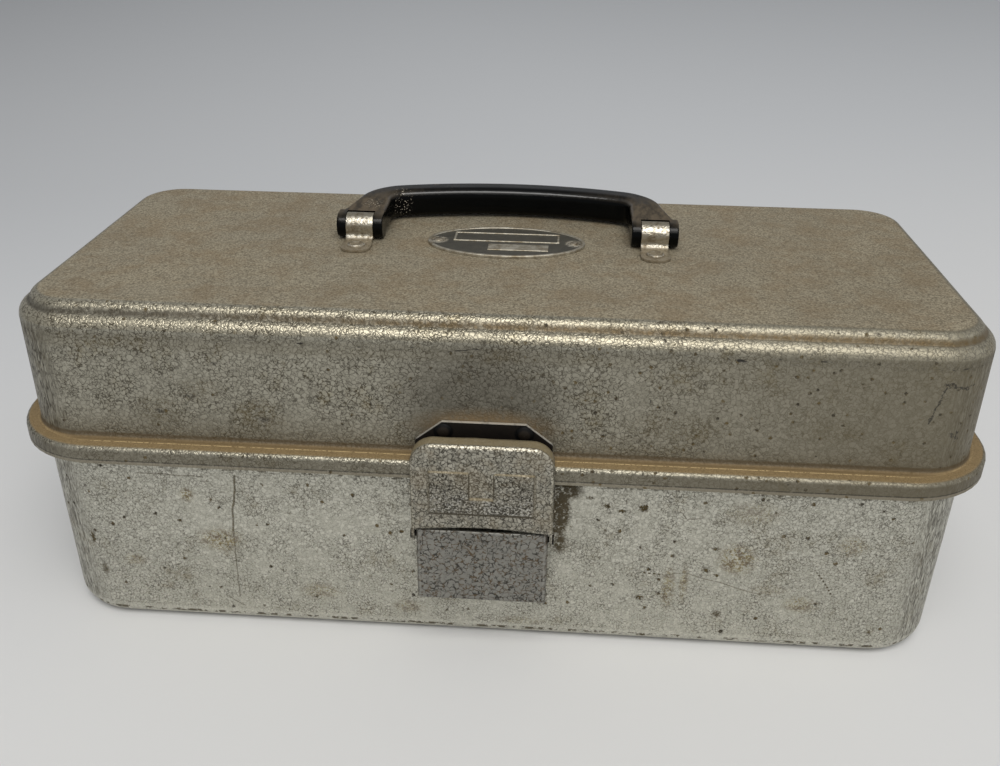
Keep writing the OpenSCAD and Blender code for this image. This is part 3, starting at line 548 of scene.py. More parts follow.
def baseSheet():
    r = DrawnSheet("baseSheet", {
        "cells": 0.84,
        "calm": 0.3,
        "ragged": 1.3,
        "cracks": 0.8,
        "tones": ((148, 146, 132), (224, 222, 210)),
    })
    z, speck, fine = r.z, r.speck, r.fine
    r.wall = r.wall.most(abs(r.x).rise(80, 135) * 0.85)
    r.wear()

    # rusty clouds over the wall, and the stain beside the latch
    dust = r.spots(onWall(-69.3, 6, [
        (86.5, 40.5, 9, 9, 0.95), (63.7, 26.5, 3.2, 13, 0.8), (69, 29.5, 2.2, 10, 0.8),
        (110.4, 22, 8, 5, 0.75), (99, 28, 9, 3.5, 0.4), (124.7, 48.6, 7, 6, 0.6), (-97, 38, 11, 7, 0.85),
        (-130.2, 27.1, 6, 3.4, 0.6), (-62, 17, 10, 5, 0.65), (-107, 57, 3.4, 4, 0.95), (90, 60, 13, 7, 0.5),
        (-30, 12, 8, 4, 0.6), (12, 8, 12, 3, 0.5),
    ])) * (speck * 0.4 + fine * 0.6).rise(0.44, 0.56)
    stain = r.spots(onWall(-69.3, 6, [
        (23.6, 58, 4.8, 15, 2.2), (26, 66, 7, 5, 1.2), (24.6, 44, 3.6, 6, 1.0),
    ]), r.rough) * (speck * 0.6 + fine * 0.4).rise(0.41, 0.52, 0.12, 1.0)
    stain = stain.least(0.95)
    r.coat(dust.least(0.85), r.tint(speck.rise(0.4, 0.6), (138, 124, 66), (82, 60, 18)))
    r.coat(stain, r.tint(fine, (32, 26, 10), (88, 74, 40)))
    # painted highlight: a lighter band along the bottom bend
    r.coat(z.band(2.2, 6.4, 0.8) * 0.4, (214, 212, 200))
    dust = dust.most(stain).least(0.9)

    marks = r.spots(onWall(-62, 12, [
        (-145, 35.6, 1.5, 4.4, 1.3), (-142.4, 21.6, 2.4, 4.4, 0.9),
    ]) + onWall(-70, 6, [
        (34.3, 63.7, 1.6, 1.1, 0.8), (40.1, 60.6, 1.6, 1.4, 0.9), (45.3, 58.8, 1.7, 1.1, 0.9),
        (52.6, 60.5, 2.4, 2.2, 1.0), (76.4, 35.3, 2.0, 1.4, 0.9), (80.2, 33.4, 1.6, 1.0, 0.8),
        (78.8, 44.7, 2.2, 1.2, 0.7), (53.8, 21.6, 1.8, 1.8, 0.8), (81.9, 15.9, 2.2, 2.2, 0.7),
    ]), r.rough) * (fine * 0.6 + speck * 0.4).rise(0.38, 0.48) * 1.35
    marks = r.scratches(marks.least(1), [
        (-88.6, 66.5, -92.2, 41.5, 0.5, 0, 0.8), (-91.9, 43, -93, 12, 0.32, 0, 0.55),
        (113.5, 38.1, 121.5, 26.3, 0.45, 4.2, 1.0), (52.6, 32.9, 61, 32.5, 0.45, 3.4, 1.0),
        (62, 32.4, 70, 33.6, 0.25, 0, 0.6), (69.5, 33.7, 97, 25.4, 0.25, 0, 0.6),
        (65.5, 59.5, 67.6, 56.8, 0.3, 0, 0.6), (67.6, 56.9, 72.6, 57.4, 0.3, 0, 0.6),
        (-124, 65.4, -100, 65, 0.35, 0, 0.5), (-98, 13, -91, 8, 0.3, 0, 0.6),
    ], r.warped(0.12, 1.6), fine.rise(0.32, 0.46))
    # partly painted shadow, partly grime: a dark broken line on the wall just under the lid's skirt
    nicksAndShadeLines = z.band(67.7, 68.5, 0.3) * speck.rise(0.5, 0.58) * 0.6
    nicksAndShadeLines = nicksAndShadeLines.most(z.band(3.4, 5.0, 0.4) * speck.rise(0.5, 0.55) * 0.9)
    grit = r.grit(0.25, 0.24, z.rise(30, 60, 0.18, 0.4)) * fine.rise(0.34, 0.5, 0.5, 1.3)
    return r.soil(dust, marks, nicksAndShadeLines, grit, r.tint(fine.rise(0.4, 0.6), (38, 31, 12), (82, 68, 28)))


def goRound(b, cx, cy, u, z):
    # one closed loop round four corners with their axes at cx and cy
    loop = []
    corners = ((cx, cy), (-cx, cy), (-cx, -cy), (cx, -cy))
    for k in range(4):
        for i in range(b["arcs"] + 1):
            dx, dy = polar(u, 90 * (k + i / b["arcs"]))
            loop.append(Vector((corners[k][0] + dx, corners[k][1] + dy, z)))
        dx, dy = polar(u, 90 * (k + 1))
        nextX, nextY = corners[(k + 1) % 4]
        first, last = loop[-1], Vector((nextX + dx, nextY + dy, z))
        count = b["sides"][k % 2]
        loop.extend(first.lerp(last, i / count) for i in range(1, count))
    return loop


def sweepShell(b, loops, middles):
    # loops run from the middle of the panel outwards and back inside; middles are both flat fields
    verts = [p for loop in loops for p in loop]
    faces = gridFaces(len(loops), len(loops[0]), True)
    nx, ny = b["sides"]
    for cx, cy, z in middles:
        start = len(verts)
        for i in range(nx + 1):
            verts.extend(Vector((cx * (1 - 2 * i / nx), cy * (1 - 2 * j / ny), z)) for j in range(ny + 1))
        faces.extend(gridFaces(nx + 1, ny + 1, False, start))
    return verts, faces


def dentAt(p, amount):
    # slow waves of a hand-handled sheet, always inwards
    wave = noise.noise(p / 42) * 0.6 + noise.noise(p / 17 + Vector((9, 4, 2))) * 0.4
    return amount * (wave * 0.5 - 0.5)


def awayFrom(p, ax, ay):
    # level direction from the corner axes to a loop's point
    away = Vector((p.x - max(-ax, min(ax, p.x)), p.y - max(-ay, min(ay, p.y)), 0))
    return away.normalized() if away.length > 0.01 else Vector()


def lidShell(b):
    sheet, dents = b["sheet"], b["dents"]
    slope, edge, groove = radians(b["panelSlope"]), b["panelEdge"], b["groove"]
    shoulder, lean = b["shoulder"][0], radians(b["shoulder"][1])
    side = b["panelDrop"] - edge * (1 - cos(slope)) - groove * (cos(lean) - cos(slope))
    side /= sin(slope)
    run = edge * sin(slope) + side * cos(slope) + groove * (sin(slope) - sin(lean))
    run += shoulder * (1 - sin(lean))
    fall = b["panelDrop"] + shoulder * cos(lean)
    cx, cy, lidR = b["lid"]
    rise = b["top"] - b["split"]
    walls = traceSheet([
        (lidR - run, b["panelSlope"], edge - sheet),
        (side, b["shoulder"][1] - b["panelSlope"], groove),
        (0, 90 - b["shoulder"][1], shoulder - sheet),
        (rise - fall - b["foot"], -90, b["foot"]),
    ], sheet)
    rx, ry, rimR = b["rim"]
    bend = b["bend"]
    skirt = traceSheet([(0, 90, bend), (b["skirt"] - sheet - bend, 0, 0)], sheet, rimR - sheet - bend)
    outside, inside = [], []
    for ax, ay, top, line in ((cx, cy, b["top"], walls), (rx, ry, b["split"], skirt)):
        for u, w, a in line:
            for into, shift in ((outside, 0), (inside, sheet)):
                loop = []
                for p in goRound(b, ax, ay, u - sin(a) * shift, top - w - cos(a) * shift):
                    # a dent pushes the point along the sheet's own normal
                    away, push = awayFrom(p, ax, ay), dentAt(p, dents)
                    tilt = Vector((0, 0, cos(a) * push)) if away.length else Vector()
                    loop.append(p + away * sin(a) * push + tilt)
                into.append(loop)
    verts, faces = sweepShell(b, outside + inside[::-1], [(cx, cy, b["top"]), (cx, cy, b["top"] - sheet)])
    for i, v in enumerate(verts):
        # the flat middle; its edge already moved with the first loop
        if abs(v.x) <= cx + 0.01 and abs(v.y) <= cy + 0.01:
            verts[i] = v + Vector((0, 0, dentAt(v, dents)))
    return makePiece("lidShell", verts, faces, 40)


def baseShell(b):
    sheet = b["sheet"]
    flange = b["split"] - 2 * sheet - b["gap"]
    lean = pi / 2 - atan(b["draft"] / (flange - b["bottom"]))
    run = (flange - (b["bottom"] + b["bend"]) * (1 - cos(lean))) / sin(lean)
    cx, cy, rimR = b["rim"]
    lip = rimR - sheet - b["skirtGap"]
    tilt = degrees(lean)
    line = traceSheet([
        (b["wall"] - b["bottom"] * sin(lean) - run * cos(lean), tilt, b["bottom"] - sheet),
        (run, -tilt, b["bend"]),
        (lip - sheet - b["bend"] - b["wall"] - b["bend"] * sin(lean), -90, b["bend"]),
        (b["lip"], 0, 0),
    ], sheet)
    outside, inside = [], []
    low, high = b["dented"]
    for u, w, a in line:
        dents = b["dents"] if low < w < high else 0.0
        for into, shift in ((outside, 0), (inside, sheet)):
            loop = goRound(b, cx, cy, u - sin(a) * shift, w + cos(a) * shift)
            into.append([p + awayFrom(p, cx, cy) * dentAt(p, dents) for p in loop])
    verts, faces = sweepShell(b, outside + inside[::-1], [(cx, cy, 0), (cx, cy, sheet)])
    return makePiece("baseShell", verts, faces, 40)


dress(lidShell(body), "lid", lidSheet(body), "lid_shell")
dress(baseShell(body), "base", baseSheet(), "base_shell")
print("shells made")

# ---- handle

handle = {
    "axis": (6.5, 132.3),  # Y and Z of the pins it folds on
    "barrel": (46.7, 64.1, 4.7),  # X from, to, and radius
    "barrelEdge": 2.6,  # edge rounding where the leg starts
    "cheek": 5.3,  # half the slot for the strap
    "pin": 3.6,
    "slot": 5.25,  # radius of the room round the strap's loop
    "leg": (52.75, 21.62),  # X and Y where the leg meets the corner
    "corner": (39.75, 13.0),
    "bow": (154.96, -114.66),  # radius and Y of its middle
    "grip": (11.5, 11.0, 133.6, 3.4),  # width, height, middle's height, edge rounding
    "flared": 0.72,  # share of the taper that the leg takes
    "voxel": 0.45,
}


def handlePlastic():
    # gloss black, with dust rubbed into the legs and a few chips
    r = Recipe("handlePlastic")
    _, y, _ = r.xyz()
    _, _, nz = r.normal()
    smear = r.noise(0.12, 5.0, 0.65)
    fine = r.noise(0.9, 3.0, 0.7)
    rubs = r.noise(0.3, 3.0, 0.6, r.stretched(1, 0.4, 1))
    legs = y.rise(37, 16) * y.rise(1, 9) * nz.rise(0.25, 0.8) * rubs.rise(0.3, 0.6, 0.35, 1.0)
    chips = r.spots([
        ((-43, 29, 135), (5, 7, 8), 1.0),
        ((-52, 16, 137), (6, 7, 3), 0.8),
        ((-25, 37, 136), (5, 4, 4), 0.7),
    ]) * r.noise(1.7, 2.0, 0.4).rise(0.63, 0.67)
    rubbed = r.spots([
        ((-31, 40, 139), (2.5, 3, 2), 0.9),
        ((22, 42, 139), (2.5, 3, 2), 1.0),
        ((-12, 43, 139), (2, 2, 2), 0.6),
    ])
    r.tone = r.tint(smear, (3, 4, 4), (7, 8, 8))
    r.coat(legs * 0.66, r.tint(fine * 0.5 + rubs * 0.5, (62, 55, 45), (136, 122, 102)))
    r.coat(rubbed * fine.rise(0.4, 0.6) * 0.6, (112, 92, 78))
    r.coat(chips * 0.85, (206, 196, 176))
    return r.finish(
        Roughness=0.14 + 0.12 * smear + 0.45 * legs,
        Specular_IOR_Level=0.1,
        Coat_Weight=nz.band(0.58, 0.82, 0.06) * y.rise(8, 16, 0.3, 1.0) * (1 - legs * 0.6),
        Coat_Roughness=0.05,
        height=smear + fine * 0.1,
        depth=0.2,
    )


def roundedRing(middle, across, width, height, r, steps=5):
    # rounded oblong standing on a point; across is its level direction
    ring = []
    for k in range(4):
        sx, sz = ((1, 1), (-1, 1), (-1, -1), (1, -1))[k]
        for i in range(steps + 1):
            dx, dz = polar(r, 90 * (k + i / steps))
            flat = sx * (width / 2 - r) + dx
            ring.append(middle + across * flat + Vector((0, 0, sz * (height / 2 - r) + dz)))
    return ring


def handlePath(h):
    # middle, direction, width, height and rounding, from the left leg to the middle of the grip
    x0, x1, barrelR = h["barrel"]
    width, height, gripZ, r = h["grip"]
    legX, legY = h["leg"]
    cornerX, cornerR = h["corner"]
    bowR, bowY = h["bow"]
    startY = h["axis"][0] + 0.5
    turnEnd = 180 - degrees(acos(cornerX / (bowR - cornerR)))
    stations = []

    def flare(t):
        # the leg narrows evenly from the barrel, on into the corner
        s = min(1.0, t)
        start = h["barrelEdge"]
        return (x1 - x0) * (1 - s) + width * s, 2 * barrelR * (1 - s) + height * s, start + (r - start) * s

    for i in range(9):
        t = i / 8
        x, z = -((x0 + x1) / 2 * (1 - t) + legX * t), h["axis"][1] * (1 - t) + gripZ * t
        stations.append((Vector((x, startY + (legY - startY) * t, z)), 180, *flare(t * h["flared"])))
    for i in range(1, 9):
        a = 180 + (turnEnd - 180) * i / 8
        dx, dy = polar(cornerR, a)
        taper = flare(h["flared"] + (1 - h["flared"]) * i / 5)
        stations.append((Vector((-cornerX + dx, legY + dy, gripZ)), a, *taper))
    for i in range(1, 11):
        a = turnEnd + (90 - turnEnd) * i / 10
        dx, dy = polar(bowR, a)
        stations.append((Vector((dx, bowY + dy, gripZ)), a, width, height, r))
    return stations


def barrelEnd(h, side):
    # half-round block on the fold's axis
    x0, x1, r = h["barrel"]
    y, z = h["axis"]
    rings = []
    for x in (x0, x1):
        arc = [polar(r, 90 + 180 * i / 32) for i in range(33)]
        outline = [(y + dy, z + dz) for dy, dz in arc] + [(y + 4, z - r), (y + 4, z + r)]
        rings.append([Vector((side * x, *place)) for place in outline])
    return loft(rings)


def strapSlot(h, side):
    # ring-shaped room for the strap's loop, round the pin
    middle = side * sum(h["barrel"][:2]) / 2
    y, z = h["axis"]
    rings = []
    for x, radius in ((-1, "slot"), (1, "slot"), (1, "pin"), (-1, "pin"), (-1, "slot")):
        circle = [polar(h[radius], 360 * i / 64) for i in range(64)]
        rings += [(middle + side * x * h["cheek"], y + dy, z + dz) for dy, dz in circle]
    return makePiece("cutter", rings, gridFaces(5, 64, True))


def carryingHandle(h):
    half = handlePath(h)
    flipped = [(Vector((-p.x, p.y, p.z)), 180 - a, *rest) for p, a, *rest in half[-2::-1]]
    rings = [roundedRing(p, Vector((*polar(1, a), 0)), *rest) for p, a, *rest in half + flipped]
    verts, faces = loft(rings)
    for side in (-1, 1):
        join(verts, faces, *barrelEnd(h, side))
    piece = makePiece("carryingHandle", verts, faces)
    fuse = piece.modifiers.new("fuse", "REMESH")
    fuse.mode = "VOXEL"
    fuse.voxel_size = h["voxel"] * mm
    ease = piece.modifiers.new("ease", "SMOOTH")
    ease.iterations = 5
    settle(piece, 180)
    for side in (-1, 1):
        cutter = strapSlot(h, side)
        cut = piece.modifiers.new("slot", "BOOLEAN")
        cut.object = cutter
        cut.solver = "EXACT"
        settle(piece, 50)
        bpy.data.objects.remove(cutter)
    return piece


dress(carryingHandle(handle), "handle", handlePlastic(), "carrying_handle")

# ---- straps and their rivets

strap = {
    "x": 55.4,
    "width": 10.1,
    "tab": (11.0, 4.6),  # width, and rounding of its tip
    "tip": -10.8,
    "thickness": 1.0,
    "loop": 4.2,  # radius of the sheet's middle round the pin
    "bend": 2.6,
    "sway": 0.12,
}
strapRivet = {
    "y": -5.3,
    "radius": 3.3,
    "height": 0.9,
    "dish": 0.45,
    "shank": 1.5,
    "tail": (2.3, 0.8),  # radius and height of the clenched end inside the lid
}


def strapSheet():
    # soft aluminium, hammered by wear at its bends and given a painted highlight there, dull on the flat
    r = Recipe("strapSheet")
    _, _, z = r.xyz()
    _, _, nz = r.normal()
    flat = z.rise(body["top"] + 2.1, body["top"] + 1.3)
    dents = r.noise(0.8, 2.0, 0.6, r.warped(0.4, 0.8))
    grime = r.noise(0.35, 4.0, 0.7)
    r.tone = r.tint(grime.rise(0.42, 0.7), (166, 158, 140), (124, 112, 92))
    # painted highlight on the bends, broken up by the hammer dents
    r.coat(nz.band(0.3, 0.85, 0.1) * dents.rise(0.42, 0.54) * 0.6, (230, 225, 212))
    r.coat(flat * 0.55, (120, 106, 82))
    r.coat(dents.rise(0.36, 0.28) * 0.5, (74, 64, 48))
    return r.finish(
        Metallic=0.9 - 0.5 * flat,
        Roughness=grime.rise(0.3, 0.7, 0.3, 0.46) + flat * 0.12,
        height=dents * (1 - flat * 0.6),
        depth=0.3,
    )


def strapLine(s, axisY, axisZ, top):
    # the sheet's middle line, from the tab's tip up over the pin and back under it
    low, bend = top + s["thickness"] / 2, s["bend"]
    front = axisY - s["loop"]
    line = [(s["tip"] + (front - bend - s["tip"]) * (i / 16) ** 1.4, low) for i in range(17)]
    for i in range(1, 7):
        dy, dz = polar(bend, -90 + 15 * i)
        line.append((front - bend + dy, low + bend + dz))
    line.append((front, (low + bend + axisZ) / 2))
    for i in range(28):
        dy, dz = polar(s["loop"], 180 - 10 * i)
        line.append((axisY + dy, axisZ + dz))
    line.append((front + 1.6, axisZ - s["loop"]))
    return line


def handleStrap(name, side, s, h):
    line = strapLine(s, *h["axis"], body["top"])
    tabWidth, tipR = s["tab"]
    columns = 10
    verts = []
    for n, (y, z) in enumerate(line):
        half = tabWidth / 2 if n < 15 else s["width"] / 2
        if n < 17:
            half -= rolled(tipR, y - s["tip"])
        middle = side * s["x"] + s["sway"] * noise.noise(Vector((side * 7, n * 0.35, 0)))
        verts.extend((middle + (2 * j / columns - 1) * half, y, z) for j in range(columns + 1))
    piece = makePiece(name, verts, gridFaces(len(line), columns + 1), 60)
    thicken(piece, s["thickness"], 0)
    return bevel(piece, 0.22, 50)


def flatRivet(name, x, low, v):
    # hammered head with a dished middle; low is the face that it sits on
    radius, shank = v["radius"], v["shank"]
    tailR, tailH = v["tail"]
    inner, high = body["top"] - body["sheet"], low + v["height"]
    profile = [
        (0.02, inner - tailH),
        (tailR, inner - tailH),
        (tailR, inner),
        (shank, inner),
        (shank, low - 0.3),
        (radius - 0.1, low - 0.3),
        (radius, low + v["height"] * 0.35),
        (radius - v["height"] * 0.35, low + v["height"] * 0.85),
        (radius - v["height"] * 0.7, high),
        (radius * 0.6, low + v["height"] * 0.9),
        (radius * 0.45, high - v["dish"]),
        (0.02, high - v["dish"] * 1.1),
    ]
    head = range(6, 10)  # the rows that are hammered out of round
    rings = []
    for n, (reach, z) in enumerate(profile):
        sway = 0.04 * radius if n in head else 0.0
        ring = []
        for i in range(48):
            t = 2 * pi * i / 48
            wide, deep = reach + sway * sin(3 * t + x), reach + sway * sin(2 * t + x)
            ring.append((x + wide * cos(t), v["y"] + deep * sin(t), z))
        rings.append(ring)
    return makePiece(name, *loft(rings), 50)


strapMetal = strapSheet()
for side, word in ((-1, "left"), (1, "right")):
    piece = handleStrap("strap." + word, side, strap, handle)
    dress(piece, "lid", strapMetal, "handle_strap_" + word)
for side, word in ((-1, "left"), (1, "right")):
    head = flatRivet("strapRivet." + word, side * strap["x"], body["top"] + strap["thickness"], strapRivet)
    dress(head, "lid", strapMetal, "handle_strap_rivets")
print("handle and straps made")

# ---- nameplate, left blank

plate = {
    "size": (59.4, 32.8),
    "y": 5,
    "face": 127.9,
    "relief": 0.3,
    "rim": 1.4,
    "frame": (0, 4.3, 40, 9.6, 0.8),  # middle, size and line width of the border
    "panel": (4.8, -6.6, 22.5, 6.2),
    "rivets": 25.7,
}


def plateMetal(p):
    # dark field with its raised parts rubbed bright
    r = Recipe("plateMetal")
    x, y, z = r.xyz()
    _, _, nz = r.normal()
    grime = r.noise(0.3, 4.0, 0.7)
    fine = r.noise(1.2, 3.0, 0.65)
    raised = z.rise(p["face"] + 0.08, p["face"] + 0.18).most(nz.rise(0.6, 0.3))
    off, side = abs(x) - p["rivets"], y - p["y"]
    ends = (off * off + side * side).math("SQRT").rise(4.2, 2.8) * fine.rise(0.42, 0.5)
    r.tone = r.tint(grime, (46, 45, 40), (92, 88, 76))
    bright = r.tint(grime.rise(0.35, 0.7), (196, 190, 174), (140, 128, 106))
    r.coat((raised * fine.rise(0.3, 0.42, 0.55, 1.0)).most(ends * 0.8), bright)
    return r.finish(
        Metallic=0.35 + 0.45 * raised,
        Roughness=0.42 + 0.12 * grime,
        height=fine * 0.4 + grime,
        depth=0.1,
    )


def plateMesh(p):
    rx, ry = p["size"][0] / 2, p["size"][1] / 2
    face, high, low, rim = p["face"], p["face"] + p["relief"], body["top"], p["rim"]
    profile = [(0, low), (0, high - 0.2), (0.15, high), (rim - 0.2, high), (rim, face), (6, face), (11, face)]
    turns = [polar(1, 360 * i / 96) for i in range(96)]
    verts, faces = loft([
        [((rx - inset) * across, p["y"] + (ry - inset) * along, z) for across, along in turns]
        for inset, z in profile
    ])

    def block(x0, x1, y0, y1):
        # raised oblong with chamfered edges
        rings = []
        for inset, z in ((0, face - 0.1), (0, high - 0.15), (0.15, high)):
            left, right = x0 + inset, x1 - inset
            front, back = p["y"] + y0 + inset, p["y"] + y1 - inset
            rings.append([(left, front, z), (right, front, z), (right, back, z), (left, back, z)])
        join(verts, faces, *loft(rings))

    x, y, w, h, line = p["frame"]
    block(x - w / 2, x + w / 2, y + h / 2 - line, y + h / 2)
    block(x - w / 2, x + w / 2, y - h / 2, y - h / 2 + line)
    block(x - w / 2, x - w / 2 + line, y - h / 2 + line, y + h / 2 - line)
    block(x + w / 2 - line, x + w / 2, y - h / 2 + line, y + h / 2 - line)
    x, y, w, h = p["panel"]
    block(x - w / 2, x + w / 2, y - h / 2, y + h / 2)
    return makePiece("nameplate.blank", verts, faces, 30)


dress(plateMesh(plate), "lid", plateMetal(plate), "nameplate")

# ---- latch: bracket's finish, and the cover and lever pressed from sheet

latchX = -2.2
bracket = {
    "top": 91.2,
    "chamfer": (14, 0.8),  # where the top edge starts to fall, and its slope
    "rivet": (13.5, 87.6),  # distance from the middle, and height
}
cover = {
    "width": 48,
    "face": -79.5,
    "low": 54,
    "high": 87.5,
    "corner": 8,
    "edge": 1.4,
    "arch": 1.7,
    "flange": -73.2,
    "side": -76.0,
    "turn": (79.6, 81.5),  # heights between which the side turns into the flange
    "sheet": 0.9,
    "panel": (18, 61.2, 77.6, 0.5),  # half width, from and to height, relief
    "tongue": (3.8, 67.5),  # half width and low end of the notch in the panel
    "ear": (47.9, -74.2, 60, 1.8),  # low end, back, high end and corner
}
lever = {
    "half": 22.6,
    "low": 23.5,
    "high": 53,
    "face": -77.8,
    "edge": 1.1,
    "back": -74.4,
    "depth": 2.2,  # how far the low rim turns back
    "turn": (44, 47),  # heights between which the rim deepens to the back
    "sheet": 0.9,
    "hook": (10, 36.0, -71.4),  # half width, top and back
}


def latchBlack(v):
    # dark paint, worn to bright metal along the plate's top edges, with painted sheen and shade at the rivets
    r = Recipe("latchBlack")
    x, y, z = r.xyz()
    top, (chamferX, slope), (rivetX, rivetZ) = v["top"], v["chamfer"], v["rivet"]
    across = abs(x - latchX)
    grime = r.noise(0.35, 4.0, 0.7)
    worn = (z + slope * (across - chamferX)).rise(top - 0.2, top)
    edge = z.rise(top - 0.15, top).most(worn * grime.rise(0.3, 0.5, 0.2, 0.7)) * y.rise(-66, -67)
    off, drop = abs(across - rivetX), z - rivetZ
    away = (off * off + drop * drop).math("SQRT")
    r.tone = r.tint(grime, (7, 6, 5), (30, 24, 18))
    # painted sheen: rivet heads a little lighter; painted shade: a dark ring round each
    r.coat(away.rise(2.0, 1.5) * 0.12, (70, 60, 46))
    r.coat(away.band(2.1, 3.3, 0.3), (3, 3, 3))
    r.coat(edge * grime.rise(0.25, 0.5, 0.55, 1.0), (216, 211, 200))
    return r.finish(
        Metallic=0.55 * edge,
        Roughness=0.62 - 0.3 * edge,
        Specular_IOR_Level=0.2,
        height=grime,
        depth=0.12,
    )


def coverSheet(c):
    # the cover's coarser crackle, with tan dirt and a painted highlight on its ledges, a painted highlight
    # along its top edge, and painted shade with dirt round the raised field
    r = Recipe("latchSheet")
    x, y, z = r.xyz()
    nx, ny, _ = r.normal()
    half, low, high, _ = c["panel"]
    notch, notchLow = c["tongue"]
    line, hill, grain = r.crackle(0.74, width=0.17)
    mottle = r.cells(0.74, grain, "F1", "Color")
    speck = r.noise(0.4, 3.0, 0.65)
    fine = r.noise(1.5, 3.0, 0.65)
    patch = r.noise(0.12, 3.0, 0.6)
    across = abs(x - latchX)
    flange = y.rise(-78.2, -77.4) * z.rise(80, 84)
    ridge = abs(ny).band(0.4, 0.95, 0.06) * z.rise(76, 84)
    side = abs(nx).band(0.3, 0.9, 0.1) * z.rise(84, 78)
    rim = across.band(half - 0.8, half + 0.2, 0.25) * z.band(low + 0.1, high - 0.1, 0.3)
    rim = rim.most(across.band(notch, notch + 0.6, 0.2) * z.band(notchLow - 0.1, high - 0.1, 0.3))
    under = z.band(low - 0.6, low + 0.5, 0.25) * across.rise(half + 0.2, half - 0.4)
    ledge = z.band(high - 0.4, high + 0.15, 0.2) * across.band(notch + 0.5, half - 0.4, 0.4)
    notchLedge = z.band(notchLow - 0.5, notchLow + 0.4, 0.25) * across.rise(notch + 0.6, notch - 0.2)
    ledge = ledge.most(notchLedge) * speck.rise(0.25, 0.45, 0.6, 1.0)
    field = across.rise(half, half - 0.6) * z.band(low, high - 0.4, 0.4)
    soot = r.spots(onWall(-79, 6, [
        (-9, 65, 10, 6, 0.7), (4, 63.5, 13, 4, 0.75), (11, 70, 5, 4, 0.6),
    ])) * fine.rise(0.56, 0.42, 0.15, 1.0)
    r.tone = r.tint(mottle * 0.45 + patch * 0.2 + fine * 0.35, (90, 86, 72), (208, 204, 190))
    r.coat(line * (0.88 + 0.12 * field) * speck.rise(0.25, 0.5, 0.7, 1.0), (38, 33, 23))
    r.coat(field * z.rise(74, 62) * fine.rise(0.5, 0.62) * 0.5, (226, 224, 216))
    r.coat(patch.rise(0.45, 0.65) * 0.25, (140, 124, 96))
    r.coat(field * fine.rise(0.5, 0.4) * 0.4, (66, 60, 46))
    r.coat(soot * (1 - line * 0.5), (46, 44, 40))
    # partly painted shade, partly dirt: dark lines down the raised field's sides and along its foot
    r.coat(rim.most(under) * 0.8, (66, 58, 42))
    # painted highlight along the rounded top edge and down the upper corners
    r.coat(ridge.most(side * 0.6) * 0.55, r.tint(line, (206, 200, 182), (110, 102, 84)))
    # tan dirt on the top flange; on the field's ledges tan dirt with a painted highlight
    r.coat((flange * 0.8).most(ledge * 0.7), r.tint(fine, (112, 99, 72), (156, 141, 106)))
    return r.finish(
        Metallic=0.86 - (0.5 * flange).most(ledge * 0.6) - 0.3 * line,
        Roughness=0.36 + 0.15 * speck + 0.2 * flange - 0.08 * ridge,
        height=(hill * 0.75 + fine * 0.35) * (1 - ridge * 0.6) * (1 - flange * 0.7),
        depth=0.14,
    )


def leverSheet(v):
    # greyer plate with short forked cracks, and a painted highlight near its side edges
    r = Recipe("leverSheet")
    x, _, z = r.xyz()
    line, hill, _ = r.crackle(0.54, width=0.15)
    across = abs(x - latchX)
    rim = across.rise(14, 22).most(z.rise(34, 24))
    cracks = line * (r.noise(0.55, 2.0, 0.6) + rim * 0.06).rise(0.37, 0.46)
    speck = r.noise(0.5, 3.0, 0.6)
    rust = r.noise(0.4, 2.0, 0.5).rise(0.46, 0.58)
    r.tone = r.tint(speck * 0.5 + r.noise(0.06, 3.0, 0.6) * 0.5, (104, 102, 95), (160, 159, 152))
    r.coat(cracks * 0.95, r.tint(rust, (36, 32, 24), (80, 62, 36)))
    # painted highlight: a light line just inside each side edge
    r.coat(across.band(v["half"] - 1.3, v["half"] - 0.7, 0.15) * 0.2, (180, 178, 170))
    return r.finish(
        Metallic=0.72 - 0.4 * cracks,
        Roughness=0.4 + 0.15 * speck,
        height=hill * 0.2 + speck * 0.4 - cracks * 0.8,
        depth=0.1,
    )


def crowded(i, count, share):
    # from -1 to 1, closer together at the ends
    s = 2 * i / count - 1
    return sin(s * pi / 2) * share + s * (1 - share)


def turnBack(verts, faces, rim, steps, endAt):
    # bends a plate's rim back, as far as endAt says
    start = len(verts)
    for key in rim:
        x, y, z = verts[key]
        end = endAt(x, z)
        verts.extend((x, y + (end - y) * d / steps, z) for d in range(1, steps + 1))
    for n in range(len(rim) - 1):
        faces.append((rim[n], rim[n + 1], start + (n + 1) * steps, start + n * steps))
        for d in range(steps - 1):
            p, q = start + n * steps + d, start + (n + 1) * steps + d
            faces.append((p, q, q + 1, p + 1))


def coverRelief(c, x, z):
    # height of the raised field on the face
    half, low, high, relief = c["panel"]
    notchHalf, notchLow = c["tongue"]
    soft = 0.4
    field = softStep(half, half - soft, abs(x))
    field *= softStep(low, low + soft, z) * softStep(high, high - soft, z)
    notch = softStep(notchHalf, notchHalf - soft, abs(x)) * softStep(notchLow - soft, notchLow, z)
    return relief * field * (1 - notch)


